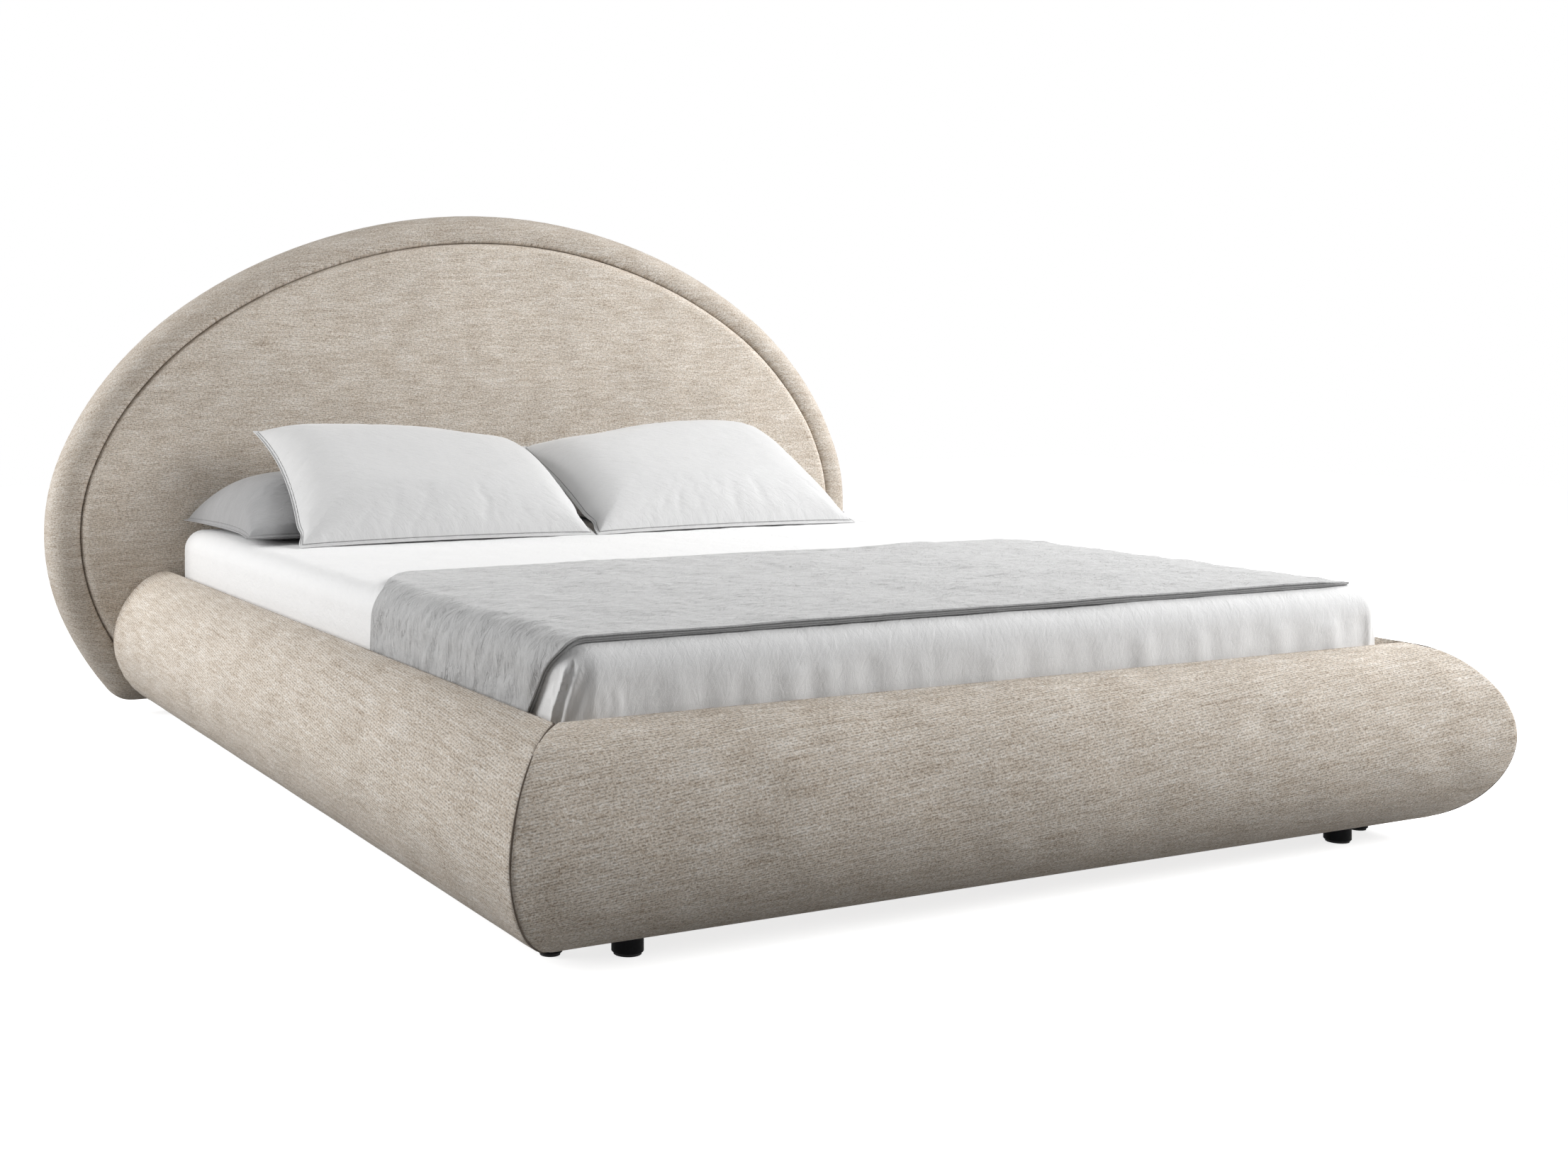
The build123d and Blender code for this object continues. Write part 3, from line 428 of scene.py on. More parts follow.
def creased_cotton(name, colour, crease=0.5, mottled=0.03, scale=1.0, sheen=0.15,
                   turn=0.5, hairs=0.5):
    """Washed cotton with soft swells and fine hair-like creases along one way."""
    material, tree, shader = new_material(name, 0.85, Sheen_Weight=sheen, Sheen_Roughness=0.5)
    plain = coordinates(tree, "UV")
    along = coordinates(tree, "UV", (26 * scale, 85 * scale, 1), turn)
    hair = noise(tree, along, 1.0, 4.0, 0.60, 0.8)
    athwart = coordinates(tree, "UV", (34 * scale, 85 * scale, 1), turn + 0.7)
    cross = noise(tree, athwart, 1.0, 4.0, 0.62, 0.8)
    swell = noise(tree, plain, 9.0 * scale, 2.0, 0.5, 0.3)
    thread = noise(tree, plain, 800.0, 1.0, 0.5)
    blotch = noise(tree, plain, 26.0 * scale, 4.0, 0.6)
    patches = noise(tree, plain, 17.0, 2.0, 0.5)
    slack = coordinates(tree, "UV", (11 * scale, 48 * scale, 1), turn - 0.2)
    thin = hair_lines(tree, slack, 0.018, patches)
    low = tuple(c * (1 - 2 * mottled) for c in colour)
    high = tuple(min(1.0, c * (1 + mottled)) for c in colour)
    tone = weighted(tree, (blotch, 0.42), (hair, 0.14), (thread, 0.44))
    tree.links.new(ramp(tree, tone, [(0.32, low), (0.66, high)]), shader.inputs["Base Color"])
    tree.links.new(ramp(tree, tone, [(0.3, 0.92), (0.7, 0.78)]), shader.inputs["Roughness"])
    lines = weighted(tree, (hair, 0.6), (cross, 0.45), (thin, -0.14 * hairs))
    add_bump(tree, shader, (swell, 0.5, 0.016 * crease), (lines, 0.9, 0.0085 * crease),
             (thread, 0.3, 0.0006))
    return material


def grained_wood(name, light, dark, along, scale=1.0):
    """Timber whose grain runs along one axis."""
    material, tree, shader = new_material(name, 0.6)
    stretch = [40.0 * scale] * 3
    stretch["XYZ".index(along)] = 2.4 * scale
    vector = coordinates(tree, "Object", stretch)
    grain = noise(tree, vector, 1.0, 5.0, 0.65, 0.7)
    pore = noise(tree, vector, 6.0, 2.0, 0.5)
    tone = weighted(tree, (grain, 0.75), (pore, 0.25))
    tree.links.new(ramp(tree, tone, [(0.32, dark), (0.62, light)]), shader.inputs["Base Color"])
    tree.links.new(ramp(tree, pore, [(0.3, 0.72), (0.7, 0.5)]), shader.inputs["Roughness"])
    add_bump(tree, shader, (tone, 0.25, 0.0008))
    return material


def mottled_solid(name, low, high, roughness, spread=0.08, scale=90.0, **sockets):
    """Paint, plastic, rubber or metal with a fine uneven surface."""
    material, tree, shader = new_material(name, roughness, **sockets)
    plain = coordinates(tree, "Object")
    fine = noise(tree, plain, scale, 4.0, 0.6)
    broad = noise(tree, plain, scale / 12, 2.0, 0.5)
    tone = weighted(tree, (fine, 0.6), (broad, 0.4))
    tree.links.new(ramp(tree, tone, [(0.35, low), (0.65, high)]), shader.inputs["Base Color"])
    rough = ramp(tree, tone, [(0.3, roughness + spread), (0.7, roughness - spread)])
    tree.links.new(rough, shader.inputs["Roughness"])
    add_bump(tree, shader, (fine, 0.3, 0.0003))
    return material


UPHOLSTERY = woven_upholstery("upholstery_rails", 0.0041)
UPHOLSTERY_BOARD = woven_upholstery("upholstery_headboard", 0.0043, 0.9)
# The rim's copy has its yarn colours scaled to 0.85: painted shade, because the rim faces up and
# takes more light.
UPHOLSTERY_RIM_SHADED = woven_upholstery("upholstery_rim_painted_shade", 0.0043, 0.9, 0.85)
SHEET = creased_cotton("sheet_cotton", (0.87, 0.87, 0.87), 0.27, 0.012, 1.0, 0.15, 0.9, 0.5)
PILLOWCASE = creased_cotton("pillow_cotton", (0.70, 0.70, 0.70), 0.28, 0.018, 1.2, 0.15, -0.5, 0.9)
# Grey cotton of the rear pillows, made darker still to paint the shade that the front pillows cast
# on them.
REAR_CASE_GREY_AND_SHADE = creased_cotton("rear_pillow_grey_and_painted_shade", (0.36, 0.36, 0.365),
                           0.4, 0.05, 1.0, 0.3, -0.4, 0.6)
# Dark grey for the stitch lines on the pillows' lips: the stitch is real, its darkness is painted
# shade of the stitched groove.
STITCH_SHADE = creased_cotton("stitch_painted_shade", (0.30, 0.30, 0.30), 0.2, 0.05, 3.0)
THROW = creased_cotton("throw_cotton", (0.54, 0.54, 0.54), 0.85, 0.10, 1.3, 0.35, 0.12, 1.3)
# Darker grey for the throw's edge band and its lower cord: painted shade of the edge, which faces
# down and away from the light.
THROW_EDGE_SHADE = creased_cotton("throw_edge_painted_shade", (0.33, 0.33, 0.33), 0.3, 0.12, 2.0, 0.2)
# Near-black cord along the mitres: painted shadow in the seam's groove.
SEAM_SHADOW = creased_cotton("seam_shadow", (0.10, 0.075, 0.055), 0.2, 0.10, 3.0, 0.0)
TICKING = creased_cotton("mattress_ticking", (0.80, 0.79, 0.76), 0.6, 0.03, 1.5)
LINING = creased_cotton("back_lining", (0.30, 0.285, 0.265), 0.3, 0.12, 3.0)
PLYWOOD = grained_wood("plywood", (0.62, 0.46, 0.29), (0.47, 0.33, 0.19), "X")
TIMBER_X, TIMBER_Y, TIMBER_Z = (
    grained_wood(f"timber_{way}", (0.66, 0.50, 0.32), (0.50, 0.35, 0.20), axis)
    for way, axis in (("across", "X"), ("along", "Y"), ("upright", "Z")))
SLAT_WOOD = grained_wood("slat_beech", (0.74, 0.58, 0.40), (0.60, 0.44, 0.28), "X", 1.4)
FRAME_PAINT = mottled_solid("frame_paint", (0.035, 0.036, 0.038), (0.05, 0.051, 0.054), 0.5)
BRACKET_PAINT = mottled_solid("bracket_paint", (0.04, 0.04, 0.042), (0.07, 0.07, 0.072), 0.45)
STEEL = mottled_solid("bolt_steel", (0.52, 0.52, 0.50), (0.68, 0.67, 0.65),
                      0.34, 0.1, 260.0, Metallic=1.0)
HOLDER = mottled_solid("holder_plastic", (0.03, 0.03, 0.03), (0.045, 0.045, 0.045), 0.55)
LEG = mottled_solid("leg_finish", (0.004, 0.004, 0.004), (0.008, 0.008, 0.009),
                    0.62, 0.08, 160.0, Specular_IOR_Level=0.08)
GLIDE = mottled_solid("glide_plastic", (0.03, 0.03, 0.032), (0.05, 0.05, 0.052), 0.5)
PAD = mottled_solid("pad_rubber", (0.018, 0.018, 0.018), (0.03, 0.03, 0.03), 0.85)

CAD_FINISH = {
    "headboard_core": PLYWOOD, "side_board": PLYWOOD, "foot_board": PLYWOOD,
    "headboard_back_cover": LINING, "headboard_batten": TIMBER_Z,
    "foot_cleat": TIMBER_X, "head_cleat": TIMBER_X, "side_cleat": TIMBER_Y,
    "base_tube": FRAME_PAINT, "corner_bracket": BRACKET_PAINT, "headboard_bracket": BRACKET_PAINT,
    "corner_bolts": STEEL, "headboard_bolts": STEEL, "leg_studs": STEEL,
    "slats": SLAT_WOOD, "slat_holders": HOLDER, "tube_end_caps": HOLDER,
    "foot_leg": LEG, "side_leg": LEG, "centre_leg": LEG, "centre_glide": GLIDE, "leg_pads": PAD,
}
for node_name, node in NODES.items():
    fits = [key for key in CAD_FINISH if node_name.startswith(key)]
    if fits:
        node.data.materials.clear()
        node.data.materials.append(CAD_FINISH[max(fits, key=len)])


def dress(piece, material, body, node):
    """Gives a piece its material and its body, and hides the CAD node that it replaces."""
    piece.data.materials.clear()
    piece.data.materials.append(material)
    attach(piece, body)
    if node:
        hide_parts(node)


# Bolster rails: upholstered D sections with mitred foot corners

def rail_section():
    """Closed outline of the rail: distance from its inner face and height, with its normals."""
    angle = np.linspace(-math.pi / 2, math.pi / 2, RAIL_ARC_POINTS)
    power = 2 / RAIL_POWER
    out = np.maximum(RAIL_THICKNESS * np.abs(np.cos(angle)) ** power, RAIL_INNER_RECESS)
    up = RAIL_MIDDLE_Z + RAIL_HALF_HEIGHT * np.sign(np.sin(angle)) * np.abs(np.sin(angle)) ** power
    inner = np.linspace(up[-1], up[0], RAIL_INNER_POINTS)[1:-1]
    out = np.concatenate([out, np.full(len(inner), RAIL_INNER_RECESS)])
    up = np.concatenate([up, inner])
    place = np.stack([out, up], 1)
    step = np.roll(place, -1, 0) - np.roll(place, 1, 0)
    step /= np.linalg.norm(step, axis=1)[:, None]
    return place, np.stack([step[:, 1], -step[:, 0]], 1)


def rail(name, node_name, ends, to_world, seed, grooves):
    """Rail between two end lines, each given as a place along it for a distance out."""
    place, normal = rail_section()
    middle_length = ends[1](0.0) - ends[0](0.0)
    count = int(middle_length / RAIL_CELL)
    near = np.array(RAIL_END_ROWS) / middle_length
    between = np.linspace(RAIL_END / middle_length, 1 - RAIL_END / middle_length, count)
    share = np.concatenate([near, between, 1 - near[::-1]])
    rows, columns = len(share), len(place)
    start, end = ends[0](place[:, 0]), ends[1](place[:, 0])
    along = start + share[:, None] * (end - start)
    flat = np.stack([along.ravel(), np.tile(running_length(place), rows)], 1)
    offset = uneven(flat, seed, RAIL_WAVES)
    offset = offset.reshape(rows, columns) * smoothstep(place[:, 0], 0.0, 0.03)
    bottom = RAIL_MIDDLE_Z - RAIL_HALF_HEIGHT
    offset = offset * smoothstep(place[:, 1], bottom, RAIL_MIDDLE_Z - 0.06)
    across_seam = np.stack([flat[:, 1], flat[:, 0] * 0.12], 1)
    pucker = PUCKER_HEIGHT * ripple(across_seam, PUCKER_PITCH, seed + 2).reshape(rows, columns)
    for reach, groove in ((along - start, grooves[0]), (end - along, grooves[1])):
        offset = offset - groove * np.exp(-(reach / GROOVE_WIDTH) ** 2)
        fade = np.exp(-(reach / PUCKER_REACH) ** 2)
        offset = offset + pucker * fade * smoothstep(reach, 0.002, 0.012)
    out = place[:, 0] + offset * normal[:, 0]
    up = place[:, 1] + offset * normal[:, 1]
    points = to_world(along, np.maximum(out, RAIL_INNER_RECESS), up).reshape(-1, 3)
    faces = grid_faces(rows, columns, closed=True)
    faces.append(tuple(range(columns - 1, -1, -1)))
    faces.append(tuple(range((rows - 1) * columns, rows * columns)))
    piece = mesh_piece(name, points, faces, flat)
    dress(piece, UPHOLSTERY, "bed", node_name)


def side_rail(side, label, seed):
    rail(f"side_bolster_{label}", f"side_rail_{label}",
         (lambda out: RAIL_FOOT - out, lambda out: RAIL_HEAD_END - 0 * out),
         lambda along, out, up: np.stack([side * (RAIL_INNER + out), along, up], -1),
         seed, (MITRE_GROOVE, HEAD_END_GROOVE))


def mitre_seam(side, label):
    """Dark cord along the sewn line round the outside of the mitre between a side rail and the
    foot rail: painted shadow in the seam's groove.
    """
    place, normal = rail_section()
    line = (place - MITRE_SEAM_DEPTH * normal)[:RAIL_ARC_POINTS]
    path = np.stack([side * (RAIL_INNER + line[:, 0]), RAIL_FOOT - line[:, 0], line[:, 1]], 1)
    seam = tube(f"mitre_seam_{label}", path, MITRE_SEAM_RADIUS)
    dress(seam, SEAM_SHADOW, "bed", None)


side_rail(-1, "left", 11)
side_rail(1, "right", 21)
rail("foot_bolster", "foot_rail",
     (lambda out: -(RAIL_INNER + out), lambda out: RAIL_INNER + out),
     lambda along, out, up: np.stack([along, RAIL_FOOT - out, up], -1),
     31, (MITRE_GROOVE, MITRE_GROOVE))
mitre_seam(-1, "left")
mitre_seam(1, "right")


# Headboard: the rim and the raised panel, from their CAD forms

def soft_copy(name, node_name):
    """Evenly meshed copy of a CAD solid."""
    mesh = NODES[node_name].data.copy()
    mesh.materials.clear()
    piece = bpy.data.objects.new(name, mesh)
    SCENE.collection.objects.link(piece)
    remesh = piece.modifiers.new("remesh", "REMESH")
    remesh.mode = "VOXEL"
    remesh.voxel_size = BOARD_VOXEL
    smooth = piece.modifiers.new("smooth", "SMOOTH")
    smooth.factor = 0.5
    smooth.iterations = BOARD_SMOOTH_STEPS
    bpy.context.view_layer.update()
    shown = piece.evaluated_get(bpy.context.evaluated_depsgraph_get())
    made = bpy.data.meshes.new_from_object(shown)
    piece.modifiers.clear()
    piece.data = made
    made.polygons.foreach_set("use_smooth", [True] * len(made.polygons))
    return piece


def per_vertex(piece, kind):
    """The "co" or the "normal" of each vertex, in rows."""
    values = np.zeros(len(piece.data.vertices) * 3)
    piece.data.vertices.foreach_get(kind, values)
    return values.reshape(-1, 3)


def set_vertices(piece, points):
    piece.data.vertices.foreach_set("co", points.ravel())
    piece.data.update()


def way_out(points):
    """Direction away from the middle of the headboard's oval, across and up."""
    across = np.abs(points[:, 0]) / BOARD_HALF_WIDTH
    up = np.abs(points[:, 2] - BOARD_WAIST) / BOARD_RISE
    way = np.stack([np.sign(points[:, 0]) * across ** (BOARD_POWER - 1) / BOARD_HALF_WIDTH,
                    np.sign(points[:, 2] - BOARD_WAIST) * up ** (BOARD_POWER - 1) / BOARD_RISE], 1)
    way /= np.maximum(np.linalg.norm(way, axis=1), 1e-9)[:, None]
    return way


def board_pad(name, node_name, front, seed, material):
    """Padded piece of the headboard, its cloth wrapped round its front and sides."""
    piece = soft_copy(name, node_name)
    points, normal = per_vertex(piece, "co"), per_vertex(piece, "normal")
    swell = uneven(points[:, [0, 2]], seed, BOARD_WAVES)
    facing = smoothstep(-normal[:, 1], 0.2, 0.9)
    points = points + normal * (swell * facing)[:, None]
    set_vertices(piece, points)
    depth = points[:, 1] - front
    set_uv(piece.data, points[:, [0, 2]] + way_out(points) * depth[:, None])
    dress(piece, material, "bed", node_name)


board_pad("headboard_rim_pad", "headboard_rim", RIM_FRONT, 41, UPHOLSTERY_RIM_SHADED)
board_pad("headboard_panel_pad", "headboard_panel", PANEL_FRONT, 43, UPHOLSTERY_BOARD)


# Mattress and fitted sheet: rounded blocks made of rings round a flat middle

def rounded_block(half_x, half_y, corner, across, along, profile, corner_steps=9):
    """Points of a rounded block: a grid inside and rings outwards, each an inset and a height.

    Gives points and faces, each point's flat place, way out and ring, and the last ring."""
    a, b = half_x - corner, half_y - corner
    turn = np.linspace(0, math.pi / 2, corner_steps)[1:-1]
    nx, ny = len(across), len(along)
    walk = [((x, -b), (0, -1), i) for i, x in enumerate(across)]
    walk += [((a, -b), (math.sin(t), -math.cos(t)), nx - 1) for t in turn]
    walk += [((a, y), (1, 0), j * nx + nx - 1) for j, y in enumerate(along)]
    walk += [((a, b), (math.cos(t), math.sin(t)), ny * nx - 1) for t in turn]
    walk += [((across[i], b), (0, 1), (ny - 1) * nx + i) for i in range(nx - 1, -1, -1)]
    walk += [((-a, b), (-math.sin(t), math.cos(t)), (ny - 1) * nx) for t in turn]
    walk += [((-a, along[j]), (-1, 0), j * nx) for j in range(ny - 1, -1, -1)]
    walk += [((-a, -b), (-math.cos(t), -math.sin(t)), 0) for t in turn]
    walk, way, inner = (np.array(part) for part in zip(*walk))
    gx, gy = np.meshgrid(across, along)
    points = [np.stack([gx.ravel(), gy.ravel(), np.full(nx * ny, profile[0][1])], 1)]
    flat = [points[0][:, :2]]
    out = [np.zeros((nx * ny, 2))]
    ring_of = [np.zeros(nx * ny)]
    faces = grid_faces(ny, nx)
    count = len(walk)
    before = inner
    gone = 0.0
    for k, (inset, height) in enumerate(profile[1:], 1):
        gone += math.dist(profile[k - 1], profile[k])
        place = walk + way * (corner - inset)
        points.append(np.column_stack([place, np.full(count, height)]))
        flat.append(walk + way * gone)
        out.append(way)
        ring_of.append(np.full(count, k))
        ring = nx * ny + (k - 1) * count + np.arange(count)
        for i in range(count):
            j = (i + 1) % count
            loop = (before[j], before[i], ring[i], ring[j])
            face = tuple(dict.fromkeys(int(v) for v in loop))
            if len(face) > 2:
                faces.append(face)
        before = ring
    return (np.concatenate(points), faces, np.concatenate(flat), np.concatenate(out),
            np.concatenate(ring_of), [int(v) for v in before])


def block_profile(corner, edge, top, bottom, foot_edge=0.0, row=0.008):
    """Insets and heights over a rounded top edge and down the side, round the foot if asked."""
    profile = [(corner, top), (edge, top)]
    for t in np.linspace(0, math.pi / 2, 9)[1:]:
        profile.append((edge - edge * math.sin(t), top - edge * (1 - math.cos(t))))
    side_top, side_bottom = top - edge, bottom + foot_edge
    rows = max(2, int((side_top - side_bottom) / row))
    for z in np.linspace(side_top, side_bottom, rows + 1)[1:]:
        profile.append((0.0, z))
    if foot_edge:
        for t in np.linspace(0, math.pi / 2, 5)[1:]:
            profile.append((foot_edge * (1 - math.cos(t)), side_bottom - foot_edge * math.sin(t)))
    return profile


def even(half, step):
    """Even places from -half to half."""
    return np.linspace(-half, half, int(round(2 * half / step)) + 1)


def make_mattress():
    half_x, half_y = MATTRESS_HALF_X - MATTRESS_INWARD, MATTRESS_HALF_Y - MATTRESS_INWARD
    corner, edge = MATTRESS_CORNER - MATTRESS_INWARD, MATTRESS_EDGE - MATTRESS_INWARD
    profile = block_profile(corner, edge, MATTRESS_TOP - MATTRESS_INWARD, MATTRESS_BOTTOM,
                            MATTRESS_FOOT_EDGE)
    points, faces, flat, _, ring, last = rounded_block(
        half_x, half_y, corner, even(half_x - corner, MATTRESS_CELL),
        even(half_y - corner, MATTRESS_CELL), profile)
    quilt = np.cos(flat[:, 0] * TAU / QUILT_PITCH) * np.cos(flat[:, 1] * TAU / QUILT_PITCH)
    points[:, 2] -= QUILT_DEPTH * (1 - np.abs(quilt)) * (ring == 0)
    points[:, 1] += BED_MIDDLE_Y
    faces.append(tuple(last[::-1]))
    piece = mesh_piece("mattress_pad", points, faces, flat)
    dress(piece, TICKING, "mattress", "mattress")


def pleat(points, out, ring, hang, half_x, half_y, corner):
    """How far the sheet's pleat at the left foot corner stands out: a flap over a sunk fold."""
    x, y, z = points.T
    pinch_z = PLEAT_PINCH[0]
    walked = np.arctan2(-out[:, 1], -out[:, 0]) * corner
    walked += np.where(out[:, 1] < -0.99, np.maximum(x + half_x - corner, 0), 0)
    walked -= np.where(out[:, 0] < -0.99, np.maximum(y + half_y - corner, 0), 0)
    slope = (PLEAT_PINCH[1] - PLEAT_LOW[1]) / (pinch_z - PLEAT_LOW[0])
    line = (PLEAT_LOW[1] + slope * (np.minimum(z, pinch_z + 0.004) - PLEAT_LOW[0])) * corner
    gap = walked - line
    near = (ring > 0) & (out[:, 0] <= 0) & (out[:, 1] <= 0)
    below = smoothstep(z, pinch_z + 0.010, pinch_z - 0.010) * near
    flap = np.where(gap < 0, 0.0072 * np.exp(-(gap / 0.009) ** 2), 0)
    sunk = np.where(gap >= 0, -0.0036 * bump_at(gap, 0.003, 0.0055), 0)
    dent = -0.0022 * bump_at(gap, 0.027, 0.008) + 0.0026 * bump_at(gap, 0.0155, 0.005)
    pinch = -0.0040 * bump_at(gap, 0.001, 0.005) * bump_at(z, pinch_z + 0.002, 0.007) * near
    span = np.hypot(gap, z - pinch_z)
    star = np.arctan2(z - pinch_z, gap)
    rays = 0.0010 * np.cos(star * 7 + 0.6) * smoothstep(span, 0.006, 0.03)
    rays = rays * np.exp(-span / 0.10) * near * hang
    crumple = 0.0008 * ripple(np.stack([gap + 0.4 * z, z * 0.35], 1), 0.024, 55)
    crumple *= near * hang * np.exp(-np.maximum(gap, 0) / 0.22) * (gap > -0.02)
    return (flap + sunk + dent) * below + pinch + rays + crumple


def make_sheet():
    half_x, half_y = MATTRESS_HALF_X + SHEET_GROWTH, MATTRESS_HALF_Y + SHEET_GROWTH
    corner, edge = MATTRESS_CORNER + SHEET_GROWTH, MATTRESS_EDGE + SHEET_GROWTH
    across = np.concatenate([even(half_x - corner, SHEET_CELL), np.linspace(*PLEAT_COLUMNS)])
    profile = block_profile(corner, edge, MATTRESS_TOP + SHEET_GROWTH, SHEET_BOTTOM, row=SHEET_ROW)
    points, faces, flat, out, ring, _ = rounded_block(
        half_x, half_y, corner, np.unique(across.round(5)), even(half_y - corner, SHEET_CELL),
        profile, SHEET_CORNER_STEPS)
    hang = smoothstep(ring, 6, 14)
    soft = 0.0007 * ripple(flat, 0.22, 51) + 0.0003 * ripple(flat * (1, 0.5), 0.07, 52)
    points[:, 2] += np.where(ring == 0, soft, soft * (1 - hang)) * 0.8 - 0.0008
    foot = smoothstep(-out[:, 1], 0.5, 0.9) * hang
    folds = 0.0012 * ripple(np.stack([flat[:, 0], flat[:, 1] * 0.25], 1), 0.060, 53)
    slanted = np.stack([flat[:, 0] + flat[:, 1] * 0.3, flat[:, 1] * 0.2], 1)
    folds += 0.0012 * ripple(slanted, 0.19, 54)
    points[:, :2] += out * (foot * (folds + 0.0015))[:, None]
    points[:, :2] += out * pleat(points, out, ring, hang, half_x, half_y, corner)[:, None]
    points[:, 1] += BED_MIDDLE_Y
    piece = mesh_piece("fitted_sheet_cloth", points, faces, flat)
    solid = piece.modifiers.new("cloth", "SOLIDIFY")
    solid.thickness = SHEET_CLOTH
    solid.offset = -1
    dress(piece, SHEET, "mattress", "fitted_sheet")


make_mattress()
make_sheet()


# Throw: a padded cloth across the foot half that hangs over both sides

def throw_path(growth):
    """Section across the bed from the left hem to the right one, at one growth."""
    half = MATTRESS_HALF_X + growth
    top = MATTRESS_TOP + growth
    radius = MATTRESS_EDGE + growth
    up = np.linspace(THROW_HEM, top - radius, 26)[:-1]
    turn = np.linspace(0, math.pi / 2, 18)
    over = np.linspace(-(half - radius), half - radius, 230)[1:-1]
    arc = np.stack([-(half - radius) - radius * np.cos(turn),
                    top - radius + radius * np.sin(turn)], 1)
    left = np.concatenate([np.stack([np.full(len(up), -half), up], 1), arc])
    flat_part = np.stack([over, np.full(len(over), top)], 1)
    return np.concatenate([left, flat_part, left[::-1] * (-1, 1)])


def throw_edges(outer, around):
    """Places of the front and the back edge along the bed, round the section."""
    back = np.interp(around, *THROW_BACK_EDGE)
    back = np.convolve(np.pad(back, 4, mode="edge"), np.ones(9) / 9, mode="valid")
    slanted = THROW_FRONT + THROW_SLANT * np.maximum(0, THROW_SLANT_TOP - outer[:, 1])
    tucked = THROW_FRONT + np.interp(around[-1] - around, *THROW_TUCK)
    return np.where(outer[:, 0] > 0, tucked, slanted), back


def throw_lift(outer, flat, share):
    """Height of the throw's creases over its even form, with less at the right side."""
    rows, columns = len(share), len(outer)
    side = smoothstep(np.abs(outer[:, 0]), 0.70, 0.80) * np.where(outer[:, 0] > 0, 0.35, 1)
    along = np.stack([flat[:, 1], flat[:, 0] * 0.22], 1)
    bands = 0.0024 * ripple(along, 0.085, 61).reshape(rows, columns)
    slanted = np.stack([flat[:, 1] + 0.35 * flat[:, 0], flat[:, 0] * 0.4], 1)
    bands += 0.0008 * ripple(slanted, 0.040, 62).reshape(rows, columns)
    broad = 0.0020 * ripple(flat, 0.30, 63).reshape(rows, columns)
    broad *= 1 - 0.7 * smoothstep(outer[:, 0], 0.55, 0.72)
    fine = 0.0005 * ripple(flat * (1.0, 1.4), 0.045, 64).reshape(rows, columns)
    from_edge = np.minimum(share, 1 - share)[:, None] * (THROW_BACK - THROW_FRONT)
    calm = smoothstep(from_edge, 0.0, 0.02)
    lowered = THROW_LOWERED * smoothstep(outer[:, 0], 0.66, 0.79)
    lift = (bands * side + broad * (1 - 0.5 * side) + fine) * (0.25 + 0.75 * calm)
    return lift - THROW_SINK - lowered


def throw_faces(rows, columns):
    """Faces of the upper and the under side, and of the band round the edge that joins them."""
    total = rows * columns
    low = total - columns
    sides = grid_faces(rows, columns) + grid_faces(rows, columns, flip=True, start=total)
    band = []
    for c in range(columns - 1):
        band.append((c + 1, c, total + c, total + c + 1))
        band.append((low + c, low + c + 1, total + low + c + 1, total + low + c))
    for r in range(rows - 1):
        p, q = r * columns, (r + 1) * columns
        band.append((p, q, total + q, total + p))
        p, q = p + columns - 1, q + columns - 1
        band.append((q, p, total + p, total + q))
    return sides, band


def make_throw():
    outer, inner = throw_path(THROW_OUTER_GROWTH), throw_path(THROW_INNER_GROWTH)
    step = np.gradient(outer, axis=0)
    step /= np.linalg.norm(step, axis=1)[:, None]
    outer_way = np.stack([-step[:, 1], step[:, 0]], 1)
    around = running_length(outer)
    width = float(around[-1])
    front, back = throw_edges(outer, around)
    share = np.linspace(0, 1, THROW_ROWS)
    along = front + share[:, None] * (back - front)
    rows, columns = along.shape
    flat = np.stack([np.tile(around - width / 2, rows), along.ravel()], 1)
    fall = (THROW_STRIP_TOP - outer[:, 1]) / (THROW_STRIP_TOP - THROW_HEM)
    pitch = (THROW_BACK - THROW_FRONT) / THROW_FOLDS
    waves = 1 - np.sin(math.pi * (along - THROW_FRONT) / pitch)
    hang_fold = THROW_FOLD_DEPTH * np.clip(fall, 0, 1) * waves
    lift = throw_lift(outer, flat, share)
    upper = np.stack([
        outer[:, 0] + outer_way[:, 0] * lift + np.sign(outer[:, 0]) * hang_fold,
        along,
        outer[:, 1] + outer_way[:, 1] * lift], -1)
    under = np.stack([
        inner[:, 0] + np.sign(inner[:, 0]) * hang_fold,
        along,
        np.broadcast_to(inner[:, 1], (rows, columns))], -1)
    points = np.concatenate([upper.reshape(-1, 3), under.reshape(-1, 3)])
    sides, band = throw_faces(rows, columns)
    piece = mesh_piece("throw_cloth", points, sides + band, np.concatenate([flat, flat]))
    dress(piece, THROW, "throw", "throw")
    # The band round the edge takes the darker cotton, which paints the shade on the throw's edge.
    piece.data.materials.append(THROW_EDGE_SHADE)
    for polygon in piece.data.polygons[len(sides):]:
        polygon.material_index = 1
        polygon.use_smooth = False
    # The upper cord has the throw's own colour; the lower one takes the darker cotton, which is
    # painted shade.
    for label, depth, radius, cotton in (("upper", 0.08, 0.0016, THROW),
                                         ("lower", 0.55, 0.0013, THROW_EDGE_SHADE)):
        path = upper[0] * (1 - depth) + under[0] * depth
        cord = tube(f"throw_piping_{label}", path[::2] + (0, -0.0008, 0), radius)
        dress(cord, cotton, "throw", None)


make_throw()


# Pillows: cases with a flat stitched lip, filled by a pressure simulation

